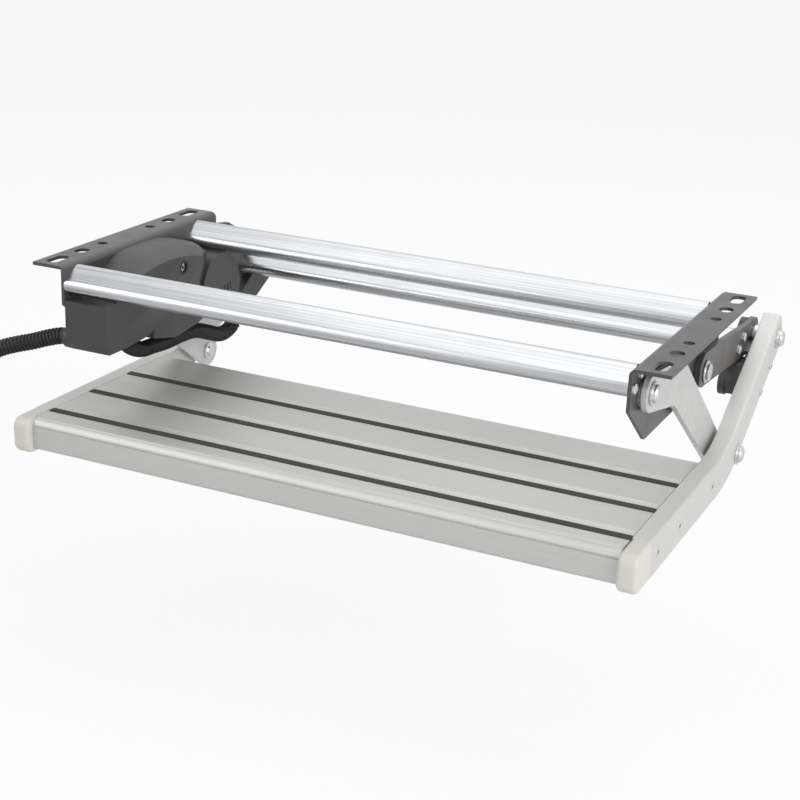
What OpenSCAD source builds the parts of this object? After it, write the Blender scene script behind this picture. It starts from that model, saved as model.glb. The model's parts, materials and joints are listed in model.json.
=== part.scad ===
// Electric caravan pull out step, shown folded and resting on its arms.
// Origin: middle of the mounting holes, on the top face of the bracket flanges.
// +X is to the right seen from the front, +Y is to the rear, +Z is up. Millimetres.

/* [Step] */
// Width over the outer faces of the two arms
overall_w = 600; // [480:5:700]
// Height of the mounting face above the tread
drop = 138; // [134:1:150]
// Distance of the tread's front face ahead of the mounting holes' middle
front_reach = 163; // [160:1:175]
// Depth of the tread, front to back
tread_d = 218; // [212:1:224]
// Thickness of the tread panel
tread_t = 30.5; // [28:0.5:34]
// Thickness of the tread panel's top skin
tread_skin = 4.6; // [4.2:0.1:6]
// Thickness of the tread panel's other walls
tread_wall = 2.2; // [1.8:0.1:3]
// Pitch of the fine ribs on the tread
rib_pitch = 2.6; // [2:0.1:4]
// Depth of the grooves between the fine ribs
rib_depth = 0.45; // [0.2:0.05:0.8]
// First grip strip's distance from the front face
strip_first = 29.5; // [26:0.5:34]
// Distance between grip strips
strip_pitch = 62.5; // [50:0.5:70]
// Width of a grip strip
strip_w = 7.6; // [6:0.2:9]
// Depth that a grip strip sits in the tread
strip_depth = 3; // [2:0.1:3.4]
// Height that a grip strip stands above the tread
strip_proud = 0.5; // [0.2:0.1:1]

/* [Arms] */
// Width of an arm, side to side
arm_w = 17.6; // [16:0.1:20]
// Height of an arm
arm_h = 34.5; // [33:0.5:38]
// Wall of the arm's hollow section
arm_wall = 2.6; // [2:0.1:3.5]
// Corner radius of the arm's section
arm_round = 3.5; // [2:0.5:5]
// Where the two straight runs of an arm's middle line meet, ahead of the origin when negative
bend_y = 96; // [90:1:102]
// Rise of the rear run of an arm, degrees
bend_rise = 30; // [28:1:32]
// Radius of the bend on the arm's middle line
bend_r = 130; // [100:5:160]
// Length of the rear run from the bend's corner to the upper pivot
pivot_run = 171; // [168:1:175]
// Length of the arm past the upper pivot
arm_tail = 15; // [13:1:18]
// Length of arm that the end cap covers
cap_cover = 29; // [24:1:34]
// Distance that the end cap stands ahead of the tread
cap_nose = 7; // [4:1:10]
// Radius of the end cap's front edges
cap_round = 10; // [6:1:14]

/* [Brackets] */
// Length of a bracket
bracket_l = 260; // [250:1:266]
// Height of a bracket's upright plate below the mounting face
bracket_h = 74; // [70:1:78]
// Thickness of the steel sheet
plate_t = 3; // [2.5:0.1:3.5]
// Gap from an arm's inner face to the outer face of the bracket
link_gap = 12.4; // [12:0.1:14]
// Reach of the mounting flange past the outer face of the plate
flange_w = 31; // [28:0.5:34]
// Distance from the flange's outer edge to the row of mounting holes
hole_inset = 13; // [12:0.5:15]
// Diameter of the mounting holes
hole_d = 10; // [8:0.5:11]
// Width of the slots
slot_w = 12; // [8:0.5:12]
// Distance between the round holes of one bracket
round_spacing = 80; // [70:1:90]
// Distance between the short slots of one bracket
short_spacing = 146; // [130:1:150]
// Distance between the end slots of one bracket
end_spacing = 220; // [210:1:226]
// Length of a short slot
short_slot_l = 16; // [13:0.5:18]
// Length of an end slot
end_slot_l = 26; // [18:0.5:27]
// Depth of the plate's front edge below the mounting face
nose_h = 36; // [30:1:40]
// Length of the plate's slanted front corner
nose_run = 48; // [40:1:55]

/* [Linkage] */
// Front pivot on the bracket, distance behind the origin
front_pivot_y = -97.4; // [-99:0.1:-96]
// Front pivot on the bracket, height
front_pivot_z = -28; // [-29:0.1:-27]
// Rear pivot on the bracket, distance behind the origin
rear_pivot_y = 71.2; // [70:0.1:72]
// Rear pivot on the bracket, height
rear_pivot_z = -58.5; // [-60:0.1:-58]
// Lower pivot on the arm, distance behind the origin
lower_pivot_y = 125; // [123:1:127]
// Lower pivot on the arm, depth below the tread's top
lower_pivot_drop = 12; // [11:0.5:14]
// Thickness of the front lever
front_lever_t = 5; // [4:0.5:5.5]
// Thickness of the rear lever's sheet
rear_lever_t = 3; // [2.5:0.1:3.2]
// Depth of the rear lever's turned edge
rear_lever_lip = 5.6; // [4.5:0.1:5.8]
// Radius of the shoulder bolts
pivot_r = 5; // [4:0.5:6]
// Radius of the pivot washers
washer_r = 10.2; // [9:0.2:11]
// Radius of the pivot bolts' heads
head_r = 7.8; // [7:0.2:8.6]
// Radial clearance of the running fits
fit_gap = 0.05; // [0.03:0.01:0.09]
// Side clearance between sliding faces
side_gap = 0.3; // [0.2:0.05:0.4]

/* [Cross tubes] */
// Radius of the tubes' rounded edges, half their thickness
tube_r = 7; // [6.4:0.2:7.2]
// Distance between the two screw channels of a tube
tube_pitch = 17.4; // [16:0.2:18.6]
// Tilt of the tubes, rising to the rear, degrees
tube_tilt = 30; // [25:1:33]
// Front tube's middle, distance behind the origin
front_tube_y = -116; // [-117:0.5:-115]
// Front tube's middle, height
front_tube_z = -13.6; // [-15:0.2:-13]
// Rear tube's middle, distance behind the origin
rear_tube_y = 87; // [86:0.5:90]
// Rear tube's middle, height
rear_tube_z = -13; // [-13.3:0.1:-12.6]
// Linking tube's middle, distance behind the origin
link_tube_y = 195; // [192:0.5:196]
// Linking tube's middle, height
link_tube_z = -65.8; // [-66.4:0.1:-65.4]
// Core radius of the tubes' end screws
screw_r = 2.5; // [2:0.1:2.8]
// Length of the tubes' end screws
screw_l = 24; // [16:1:30]
// Radius of the end screws' pan heads
pan_r = 4.5; // [4:0.1:4.6]

/* [Drive] */
// Width of the drive housing from the bracket's inner face
housing_w = 45; // [43:0.5:47]
// Wall of the drive housing
housing_wall = 2.4; // [2:0.1:2.8]
// Radius of the round gear case
drum_r = 34.6; // [34:0.1:34.8]
// Radius of the motor dome
dome_r = 38; // [37:0.5:39]
// Radius of the motor can
motor_r = 13.5; // [12:0.5:13.5]
// Length of the motor can
motor_l = 92; // [80:1:94]
// Number of teeth on the worm wheel
wheel_teeth = 40; // [36:1:44]
// Mean radius of the wheel's teeth
wheel_r = 20; // [19.5:0.1:20]
// Half height of the wheel's teeth
tooth_a = 0.75; // [0.6:0.05:0.8]
// Mean radius of the worm
worm_r = 4.4; // [4.2:0.05:4.6]
// Half height of the worm's thread
thread_a = 0.8; // [0.6:0.05:0.85]
// Space left between the mean lines of the worm and its wheel
mesh_gap = 0.7; // [0.7:0.05:0.8]
// Tilt of the motor, rising to the rear, degrees
motor_tilt = 7; // [6:0.5:8]
// Radius of the output shaft
shaft_r = 7; // [6:0.5:8]

/* [Conduit] */
// Outer radius of the corrugated conduit
hose_r = 8; // [7:0.25:8]
// Depth of the corrugations
hose_groove = 1.4; // [0.8:0.1:1.6]
// Bore radius of the conduit
hose_bore = 5.4; // [4.5:0.1:5.6]
// Distance between corrugations
hose_pitch = 3.8; // [3.6:0.1:5]
// Turns in the stored coil of conduit
coil_turns = 2; // [1:1:3]
// Middle radius of the coil's outermost turn
coil_r = 113; // [108:1:116]
// Distance between neighbouring turns of the coil
coil_step = 17; // [16.6:0.1:20]

/* [Hidden] */

eps = 0.01;
fine = 64;

// Colours
c_tread = "#c2c2c0";
c_arm = "#c8c8c5";
c_strip = "#3a3a39";
c_cap = "#dcdcd4";
c_black_steel = "#3d3c3a";
c_plastic = "#4b4a49";
c_hose = "#1e1e1d";
c_zinc = "#c9cacb";
c_tube = "#d4d6d8";
c_lever = "#b9bab8";
c_brass = "#b08d4c";

// Places across the width, for the right side
arm_out = overall_w/2;
arm_in = arm_out - arm_w;
plate_out = arm_in - link_gap;
plate_in = plate_out - plate_t;
flange_out = plate_out + flange_w;
rear_lever_out = plate_out + rear_lever_lip + 0.4;
rear_lever_in = rear_lever_out - rear_lever_t;
lip_in = rear_lever_out - rear_lever_lip;
front_lever_out = arm_in - 4.4;
front_lever_in = front_lever_out - front_lever_t;

// Places front to back and up
tread_y = -front_reach;
tread_z = -drop;
floor_z = tread_z - arm_h;
mid_z = tread_z - arm_h/2;
bend_reach = bend_r*tan(bend_rise/2);
upper_pivot_y = bend_y + pivot_run*cos(bend_rise);
upper_pivot_z = mid_z + pivot_run*sin(bend_rise);
lower_pivot_z = tread_z - lower_pivot_drop;
front_pivot = [front_pivot_y, front_pivot_z];
rear_pivot = [rear_pivot_y, rear_pivot_z];
lower_pivot = [lower_pivot_y, lower_pivot_z];
upper_pivot = [upper_pivot_y, upper_pivot_z];

// Screw places
arm_screw_u = [46.5, 106.3, 206];
port_r = 2.2;
port_wall_r = 4.6;
port_v = tread_t/2;

// Plain shapes

module mirror_pair() {
    children();
    mirror([1, 0, 0]) children();
}

// Draws a flat shape given in Y and Z, from x0 to x1
module side(x0, x1) {
    translate([x0, 0, 0]) rotate([90, 0, 90]) linear_extrude(x1 - x0) children();
}

// A round bar along X
module xbar(p, r, x0, x1) {
    translate([x0, p[0], p[1]]) rotate([0, 90, 0]) cylinder(r = r, h = x1 - x0, $fn = fine);
}

module disc(p, r) {
    translate(p) circle(r = r, $fn = fine);
}

function arc(c, r, a0, a1, n) = [for (i = [0:n]) let (a = a0 + (a1 - a0)*i/n)
    c + r*[cos(a), sin(a)]];

// Direction from a round end's centre to where a straight side touches it
function heading(a, b) = atan2(b[1] - a[1], b[0] - a[0]);
function reach(a, b) = norm([b[0] - a[0], b[1] - a[1]]);
function touch_angle(a, ra, b, rb, s) = heading(a, b) + s*acos((ra - rb)/reach(a, b));
function toward(a) = [cos(a), sin(a)];

// Where two lines through p and q, along u and v, cross
function meet(p, u, q, v) = p + u*((q[0] - p[0])*v[1] - (q[1] - p[1])*v[0])/(u[0]*v[1] - u[1]*v[0]);

module link_shape(a, ra, b, rb) {
    up = touch_angle(a, ra, b, rb, 1);
    down = touch_angle(a, ra, b, rb, -1);
    polygon(concat(arc(a, ra, up, down + 360, 32), arc(b, rb, down, up, 32)));
}

// A link with a knee that turns to the right
module knee_shape(a, ra, k, rk, b, rb) {
    up1 = touch_angle(a, ra, k, rk, 1);
    down1 = touch_angle(a, ra, k, rk, -1);
    up2 = touch_angle(k, rk, b, rb, 1);
    down2 = touch_angle(k, rk, b, rb, -1);
    corner = meet(a + ra*toward(down1), toward(down1 + 90), k + rk*toward(down2), toward(down2 + 90));
    polygon(concat(arc(a, ra, up1, down1 + 360, 32), [corner], arc(b, rb, down2, up2, 32), arc(k, rk, up2, up1, 8)));
}

module round_rect(w, h, r) {
    square([w - 2*r, h], center = true);
    square([w, h - 2*r], center = true);
    for (x = [-1, 1], y = [-1, 1]) {
        translate([x*(w/2 - r), y*(h/2 - r)]) circle(r = r, $fn = fine);
    }
}

// Tread panel

nose_top_r = 7;
nose_low_r = 4;
rib_start = nose_top_r + 1;
rib_end = tread_d - 4;
rib_n = floor((rib_end - rib_start)/rib_pitch);
groove_half = strip_w/2 + 0.2;
strip_us = [for (i = [0:2]) strip_first + i*strip_pitch];

function near_strip(u) = len([for (s = strip_us) if (abs(u - s) < strip_w/2 + rib_pitch) s]) > 0;
function rib_points() = [for (i = [rib_n - 1:-1:0]) let (u = rib_start + (i + 0.5)*rib_pitch)
    if (!near_strip(u)) each [[u + 0.5, tread_t], [u, tread_t - rib_depth], [u - 0.5, tread_t]]];
function nose_ribs() = [for (i = [0:11]) let (a = 90 + i*7.5, r = nose_top_r - (i % 2)*0.35)
    [nose_top_r, tread_t - nose_top_r] + r*[cos(a), sin(a)]];

module tread_outline() {
    polygon(concat(
        arc([nose_low_r, nose_low_r], nose_low_r, 180, 270, 8),
        [[tread_d, 0], [tread_d, tread_t]],
        rib_points(),
        nose_ribs(),
        [[0, tread_t - nose_top_r - 0.6]]));
}

web_u = [arm_screw_u[0], 76, arm_screw_u[1], 140, 173, arm_screw_u[2]];
chamber_edges = concat([tread_wall], web_u, [tread_d - tread_wall]);
web_half = 1.2;

module tread_chambers() {
    low = tread_wall;
    high = tread_t - tread_skin;
    for (i = [0:len(chamber_edges) - 2]) {
        a = chamber_edges[i] + (i == 0 ? 1.5 : web_half);
        b = chamber_edges[i + 1] - (i == len(chamber_edges) - 2 ? 0 : web_half);
        translate([a, low]) square([b - a, high - low]);
    }
}

module tread_panel() {
    color(c_tread)
    translate([0, tread_y, tread_z - tread_t])
    side(-arm_in, arm_in) {
        difference() {
            tread_outline();
            difference() {
                tread_chambers();
                for (u = arm_screw_u) disc([u, port_v], port_wall_r);
            }
            for (u = arm_screw_u) disc([u, port_v], port_r);
            for (s = strip_us) {
                translate([s - groove_half, tread_t - strip_depth])
                    square([2*groove_half, strip_depth + 1]);
            }
        }
    }
}

module grip_strip(i) {
    s = strip_us[i];
    h = strip_depth + strip_proud;
    color(c_strip)
    translate([0, tread_y, tread_z - strip_depth])
    side(-arm_in + side_gap, arm_in - side_gap) {
        polygon([[s - strip_w/2, 0], [s + strip_w/2, 0], [s + strip_w/2, h - 0.8],
            [s + strip_w/2 - 0.8, h], [s - strip_w/2 + 0.8, h], [s - strip_w/2, h - 0.8]]);
    }
}

module front_grip_strip() { grip_strip(0); }
module middle_grip_strip() { grip_strip(1); }
module rear_grip_strip() { grip_strip(2); }

// Arms

arm_start = tread_y + cap_cover;
// Points of an arm's middle line moved up by off: flat run, bend, rising run
function bend_point(a, off) = [bend_y - bend_reach + (bend_r - off)*sin(a),
    mid_z + bend_r - (bend_r - off)*cos(a)];
function arm_line(off, front, rear) = concat([[front, mid_z + off]],
    [for (i = [0:24]) bend_point(bend_rise*i/24, off)],
    [slope_point(pivot_run + arm_tail + rear, off)]);
function reversed(list) = [for (i = [len(list) - 1:-1:0]) list[i]];
module arm_band(half, front, rear) {
    polygon(concat(arm_line(half, front, rear), reversed(arm_line(-half, front, rear))));
}

module arm_bores() {
    xbar(lower_pivot, pivot_r, arm_in - 1, arm_out + 1);
    xbar(upper_pivot, pivot_r, arm_in - 1, arm_out + 1);
    for (u = arm_screw_u) {
        xbar([tread_y + u, tread_z - tread_t + port_v], port_r, arm_in - 1, arm_out + 1);
        translate([arm_out - 2.4, tread_y + u, tread_z - tread_t + port_v]) rotate([0, 90, 0])
            cylinder(r1 = port_r, r2 = 4.7, h = 2.5, $fn = fine);
    }
    for (p = fork_screw_places) {
        xbar(p, port_r, arm_in - 1, arm_out + 1);
    }
}

module right_arm() {
    color(c_arm)
    difference() {
        side(arm_in, arm_out) arm_band(arm_h/2, arm_start, 0);
        side(arm_in + arm_wall, arm_out - arm_wall) arm_band(arm_h/2 - arm_wall, arm_start - 1, -arm_wall);
        arm_bores();
    }
}

module left_arm() { mirror([1, 0, 0]) right_arm(); }

// End caps

plug_l = 12;
plug_gap = 0.15;

module right_end_cap() {
    y0 = tread_y - cap_nose;
    l = arm_start - y0;
    outer_r = 6;
    color(c_cap) {
        intersection() {
            side(arm_in, arm_out) translate([y0, floor_z]) {
                translate([cap_round, 0]) square([l - cap_round, arm_h]);
                translate([0, cap_round]) square([cap_round + 1, arm_h - 2*cap_round]);
                for (v = [cap_round, arm_h - cap_round]) disc([cap_round, v], cap_round);
            }
            translate([0, 0, floor_z]) linear_extrude(arm_h) {
                translate([arm_in, y0 + outer_r]) square([arm_w, l - outer_r]);
                translate([arm_in + outer_r, y0]) square([arm_w - 2*outer_r, outer_r + 1]);
                for (x = [arm_in + outer_r, arm_out - outer_r]) disc([x, y0 + outer_r], outer_r);
            }
            translate([arm_out - arm_w/2, arm_start, mid_z]) rotate([90, 0, 0])
                linear_extrude(l + 1) round_rect(arm_w, arm_h, arm_round);
        }
        translate([arm_out - arm_w/2, arm_start - eps, mid_z]) rotate([-90, 0, 0]) linear_extrude(plug_l)
            square([arm_w - 2*arm_wall - 2*plug_gap, arm_h - 2*arm_wall - 2*plug_gap], center = true);
    }
}

module left_end_cap() { mirror([1, 0, 0]) right_end_cap(); }

// Screws that hold the tread between the arms

module arm_screws() {
    color(c_zinc) mirror_pair()
    for (u = arm_screw_u) {
        p = [tread_y + u, tread_z - tread_t + port_v];
        xbar(p, port_r - fit_gap, arm_in - 18, arm_out - 2.35);
        translate([arm_out - 2.35, p[0], p[1]]) rotate([0, 90, 0])
            cylinder(r1 = port_r - fit_gap, r2 = 4.5, h = 2.35, $fn = fine);
    }
}

// Forks that carry the upper pivots on the arms

fork_in = lip_in - 8;
fork_plate = 6;
fork_web_y = [upper_pivot_y - 67, upper_pivot_y - 29];
function slope_point(run, off) = [bend_y + run*cos(bend_rise) - off*sin(bend_rise),
    mid_z + run*sin(bend_rise) + off*cos(bend_rise)];
// Distances down the arm from the pivot to the fork's screws and its foot
fork_screw_runs = [64, 29];
fork_foot_run = 66;
fork_screw_drop = 9;
fork_eye_r = 15.5;
fork_foot_r = 13;
fork_screw_places = [for (r = fork_screw_runs) slope_point(pivot_run - r, -fork_screw_drop)];
fork_foot = slope_point(pivot_run - fork_foot_run, 0);

module right_pivot_fork() {
    color(c_plastic)
    difference() {
        union() {
            side(fork_in, fork_in + fork_plate) link_shape(upper_pivot, fork_eye_r, fork_foot, fork_foot_r);
            xbar(upper_pivot, 11, fork_in, lip_in - side_gap);
            side(fork_in + fork_plate - eps, arm_in) polygon([
                slope_point(pivot_run - 76, -6), slope_point(pivot_run - 76, 6),
                slope_point(pivot_run - 70, 13), slope_point(pivot_run - 52, 13),
                slope_point(pivot_run - 33, 2), slope_point(pivot_run - 33, -6),
                slope_point(pivot_run - 54, -14.5), slope_point(pivot_run - 66, -14.5)]);
            side(rear_lever_out + side_gap + 0.3, arm_in)
                link_shape(slope_point(pivot_run - fork_foot_run, -4), 10, slope_point(pivot_run - 29, -6), 8);
        }
        xbar(upper_pivot, pivot_r, fork_in - 1, lip_in + 1);
        for (p = fork_screw_places) xbar(p, port_r, fork_in + 8, arm_in + 1);
    }
}

module left_pivot_fork() { mirror([1, 0, 0]) right_pivot_fork(); }

module fork_screws() {
    color(c_zinc) mirror_pair()
    for (p = fork_screw_places) {
        xbar(p, port_r - fit_gap, arm_in - 4.5, arm_out + eps);
        xbar(p, 3.6, arm_out, arm_out + 1.2);
    }
}

// Pivot bolts on the arms

module bolt_head(p, x, r, h) {
    xbar(p, r, x, x + h*0.55);
    translate([x + h*0.55 - eps, p[0], p[1]]) rotate([0, 90, 0])
        cylinder(r1 = r, r2 = r*0.78, h = h*0.45 + eps, $fn = fine);
}

washer_t = 1.6;
head_h = 4;

module upper_step_bolts() {
    color(c_zinc) mirror_pair() {
        xbar(upper_pivot, pivot_r - fit_gap, fork_in, arm_out + washer_t + eps);
        xbar(upper_pivot, washer_r, arm_out, arm_out + washer_t);
        bolt_head(upper_pivot, arm_out + washer_t, head_r, head_h);
    }
}

module upper_pivot_spacers() {
    color(c_zinc) mirror_pair()
    difference() {
        xbar(upper_pivot, washer_r, rear_lever_out + side_gap, arm_in);
        xbar(upper_pivot, pivot_r, rear_lever_out, arm_in + 1);
    }
}

module lower_step_bolts() {
    color(c_zinc) mirror_pair() {
        xbar(lower_pivot, pivot_r - fit_gap, front_lever_out + side_gap, arm_out + washer_t + eps);
        xbar(lower_pivot, washer_r, arm_out, arm_out + washer_t);
        bolt_head(lower_pivot, arm_out + washer_t, head_r, head_h);
    }
}

module lower_pivot_spacers() {
    color(c_zinc) mirror_pair()
    difference() {
        xbar(lower_pivot, washer_r, front_lever_out + side_gap, arm_in);
        xbar(lower_pivot, pivot_r, front_lever_out, arm_in + 1);
    }
}

// Brackets

bend_out_r = 6;
hole_row = flange_out - hole_inset;

module bracket_section() {
    difference() {
        union() {
            translate([plate_in, -bracket_h]) square([plate_t, bracket_h - bend_out_r]);
            translate([plate_in + bend_out_r, -plate_t]) square([flange_out - plate_in - bend_out_r, plate_t]);
            intersection() {
                disc([plate_in + bend_out_r, -bend_out_r], bend_out_r);
                translate([plate_in, -bend_out_r]) square([bend_out_r, bend_out_r]);
            }
        }
        translate([plate_out, -bend_out_r - 1]) square([bend_out_r - plate_t + 1, bend_out_r - plate_t + 1]);
    }
}

module slot_cut(x, y, l) {
    for (s = [-1, 1]) translate([x, y + s*(l - slot_w)/2, -plate_t - 1])
        cylinder(d = slot_w, h = plate_t + 2, $fn = fine);
    translate([x - slot_w/2, y - (l - slot_w)/2, -plate_t - 1])
        cube([slot_w, l - slot_w, plate_t + 2]);
}

function tube_screw_places(y, z, tilt) = [for (s = [-1, 1])
    [y + s*tube_pitch/2*cos(tilt), z + s*tube_pitch/2*sin(tilt)]];
front_tube_screws = tube_screw_places(front_tube_y, front_tube_z, tube_tilt);
rear_tube_screws = tube_screw_places(rear_tube_y, rear_tube_z, tube_tilt);
link_tube_screws_at = tube_screw_places(link_tube_y, link_tube_z, tube_tilt);

module right_bracket() {
    y0 = -bracket_l/2;
    color(c_black_steel)
    difference() {
        translate([0, -y0, 0]) rotate([90, 0, 0]) linear_extrude(bracket_l) bracket_section();
        translate([plate_in - 1, y0 - 1, -bracket_h - 1]) rotate([90, 0, 90]) linear_extrude(plate_t + 2)
            polygon([[0, 0], [nose_run + 1, 0], [nose_run + 1, 1], [1, bracket_h - nose_h + 1],
                [0, bracket_h - nose_h + 1]]);
        slot_cut(hole_row, end_spacing/2, end_slot_l);
        slot_cut(hole_row, -end_spacing/2, end_slot_l);
        slot_cut(hole_row, short_spacing/2, short_slot_l);
        slot_cut(hole_row, -short_spacing/2, short_slot_l);
        for (s = [-1, 1]) translate([hole_row, s*round_spacing/2, -plate_t - 1])
            cylinder(d = hole_d, h = plate_t + 2, $fn = fine);
        for (p = concat(front_tube_screws, rear_tube_screws)) xbar(p, screw_r + fit_gap, plate_in - 1, plate_out + 1);
        xbar(front_pivot, pivot_r, plate_in - 1, plate_out + 1);
        xbar(rear_pivot, rear_bore, plate_in - 1, plate_out + 1);
    }
}

bush_r = shaft_r + 2;
rear_bore = bush_r;

module left_bracket() { mirror([1, 0, 0]) right_bracket(); }

// Cross tubes

module tube_section() {
    difference() {
        union() {
            for (s = [-1, 1]) disc([s*tube_pitch/2, 0], tube_r);
            square([tube_pitch, 2*tube_r], center = true);
        }
        for (s = [-1, 1]) disc([s*tube_pitch/2, 0], screw_r + fit_gap);
        square([tube_pitch - 2*screw_r - 4.4, 2*tube_r - 3.6], center = true);
        for (i = [0:4]) translate([-3 + i*2.2, tube_r]) square([0.7, 0.9], center = true);
        for (i = [0:4]) translate([-3 + i*2.2, -tube_r]) square([0.7, 0.9], center = true);
    }
}

module cross_tube(y, z, half) {
    color(c_tube)
    translate([0, y, z]) side(-half, half) rotate(tube_tilt) tube_section();
}

module front_tube() { cross_tube(front_tube_y, front_tube_z, plate_in); }
module rear_tube() { cross_tube(rear_tube_y, rear_tube_z, plate_in); }
module link_tube() { cross_tube(link_tube_y, link_tube_z, rear_lever_in); }

module pan_screw(p, face) {
    xbar(p, screw_r, face - screw_l, face + eps);
    xbar(p, pan_r, face, face + 1.6);
    translate([face + 1.6 - eps, p[0], p[1]]) rotate([0, 90, 0])
        cylinder(r1 = pan_r, r2 = pan_r*0.55, h = 1.2, $fn = fine);
}

module tube_screws() {
    color(c_zinc) mirror_pair()
    for (p = concat(front_tube_screws, rear_tube_screws)) pan_screw(p, plate_out);
}

module link_tube_screws() {
    color(c_zinc) mirror_pair()
    for (p = link_tube_screws_at) pan_screw(p, rear_lever_out);
}

// Front levers

front_eye_r = 16;
knee = front_pivot + [77.4, -13];
knee_r = 20;
lower_eye_r = 16.5;

module right_front_lever() {
    color(c_lever)
    difference() {
        side(front_lever_in, front_lever_out)
            knee_shape(front_pivot, front_eye_r, knee, knee_r, lower_pivot, lower_eye_r);
        xbar(front_pivot, pivot_r, front_lever_in - 1, front_lever_out + 1);
        xbar(lower_pivot, pivot_r, front_lever_in - 1, front_lever_out + 1);
    }
}

module left_front_lever() { mirror([1, 0, 0]) right_front_lever(); }

module front_pivot_bolts() {
    color(c_zinc) mirror_pair() {
        xbar(front_pivot, pivot_r - fit_gap, plate_in, front_lever_out + washer_t + side_gap + eps);
        xbar(front_pivot, washer_r, front_lever_out + side_gap, front_lever_out + washer_t + side_gap);
        bolt_head(front_pivot, front_lever_out + washer_t + side_gap, head_r, head_h);
    }
}

pivot_ring_r = 13;
pivot_groove_r = 11.4;

module front_pivot_washers() {
    stack = front_lever_in - side_gap - plate_out;
    color(c_zinc) mirror_pair()
    difference() {
        union() {
            xbar(front_pivot, pivot_ring_r, plate_out, plate_out + stack*0.45);
            xbar(front_pivot, pivot_groove_r, plate_out + stack*0.45 - eps, plate_out + stack*0.6);
            xbar(front_pivot, pivot_ring_r, plate_out + stack*0.6 - eps, plate_out + stack);
        }
        xbar(front_pivot, pivot_r, plate_out - 1, plate_out + stack + 1);
    }
}

// Round heads that close the levers' lower eyes, seen from inside
rivet_plate_r = 9;
rivet_plate_t = 1.5;
rivet_button_r = 6.5;
rivet_button_t = 2;

module lever_rivets() {
    color(c_zinc) mirror_pair() {
        xbar(lower_pivot, pivot_r - 0.02, front_lever_in - eps, front_lever_out - 0.5);
        xbar(lower_pivot, rivet_plate_r, front_lever_in - rivet_plate_t, front_lever_in);
        translate([front_lever_in - rivet_plate_t - rivet_button_t, lower_pivot[0], lower_pivot[1]])
            rotate([0, 90, 0])
            cylinder(r1 = rivet_button_r - rivet_button_t, r2 = rivet_button_r, h = rivet_button_t + eps, $fn = fine);
    }
}

// Rear levers

rear_eye_r = 17;
// Outline of the rear lever, measured from its front pivot, and its lug on the left
lever_nose = [[-8, -13], [-18, -7.5], [-18, 10.5], [-6, 18], [36, 16.3]];
lever_lug = [[56, 14.4], [62, 44.5], [90, 41], [122, 24], [125, 7.9]];
lever_neck = [150, 5.5];
lever_belly = [[162, -26.5], [75, -19], [6, -13.5]];
pocket_nose = [[-7, -10.4], [-15.4, -6], [-15.4, 9], [-5.2, 15.3], [36, 13.7]];
pocket_lug = [[59, 11.6], [64.5, 41.8], [89, 38.3], [119, 22.5], [122, 5.8]];
pocket_tail = [[148, 3.4], [157, -23], [75, -16.3], [6, -10.9]];
lug_hole = [89.5, 12];
lug_hole_r = 3.7;

function from_rear_pivot(points) = [for (e = points) rear_pivot + e];
eye_top = touch_angle(rear_pivot + lever_neck, 0, upper_pivot, rear_eye_r, 1);
eye_low = touch_angle(rear_pivot + lever_belly[0], 0, upper_pivot, rear_eye_r, -1);

module rear_lever_body(lug) {
    color(c_black_steel)
    difference() {
        side(lip_in, rear_lever_out) polygon(concat(from_rear_pivot(lever_nose),
            from_rear_pivot(lug ? lever_lug : []), from_rear_pivot([lever_neck]),
            arc(upper_pivot, rear_eye_r, eye_top, eye_low, 32), from_rear_pivot(lever_belly)));
        side(lip_in - 1, rear_lever_in)
            polygon(from_rear_pivot(concat(pocket_nose, lug ? pocket_lug : [], pocket_tail)));
        if (lug) xbar(rear_pivot + lug_hole, lug_hole_r, lip_in - 1, rear_lever_out + 1);
        xbar(rear_pivot, pivot_r, lip_in - 1, rear_lever_out + 1);
        xbar(upper_pivot, pivot_r, lip_in - 1, rear_lever_out + 1);
        for (p = link_tube_screws_at) xbar(p, screw_r + fit_gap, lip_in - 1, rear_lever_out + 1);
    }
}

module right_rear_lever() { rear_lever_body(false); }
module left_rear_lever() { mirror([1, 0, 0]) rear_lever_body(true); }

module rear_pivot_bolt() {
    color(c_zinc) {
        xbar(rear_pivot, bush_r - fit_gap, plate_in, plate_out);
        xbar(rear_pivot, pivot_r - fit_gap, plate_out - eps, rear_lever_out + side_gap + 1.4 + eps);
        xbar(rear_pivot, washer_r, rear_lever_out + side_gap, rear_lever_out + side_gap + 1.4);
        xbar(rear_pivot, head_r, rear_lever_out + side_gap + 1.4 - eps, rear_lever_out + side_gap + 4);
    }
}

// The place where the left shaft is screwed to its lever
module shaft_bolt() {
    color(c_zinc) mirror([1, 0, 0]) {
        xbar(rear_pivot, washer_r, rear_lever_out, rear_lever_out + 1.4);
        xbar(rear_pivot, head_r, rear_lever_out + 1.4 - eps, rear_lever_out + 4);
        xbar(rear_pivot, 3.5, rear_lever_out - 14, rear_lever_out + eps);
    }
}

module rear_pivot_washer() {
    color(c_zinc)
    difference() {
        xbar(rear_pivot, 9.5, plate_out, rear_lever_in - side_gap);
        xbar(rear_pivot, pivot_r, plate_out - 1, rear_lever_in);
    }
}

module shaft_bush() {
    color(c_brass) mirror([1, 0, 0])
    difference() {
        union() {
            xbar(rear_pivot, bush_r - 0.02, plate_in - 2, plate_out);
            xbar(rear_pivot, bush_r + 2.5, plate_in - 2 - 1.2, plate_in - 1.9);
        }
        xbar(rear_pivot, shaft_r + fit_gap, plate_in - 5, plate_out + 1);
    }
}

// Drive inside the housing

worm_x = plate_in - 24;
wheel_w = 8;
worm_centre = wheel_r + worm_r + mesh_gap;
worm_axis_top = rear_pivot + worm_centre*[-sin(motor_tilt), cos(motor_tilt)];

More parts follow.
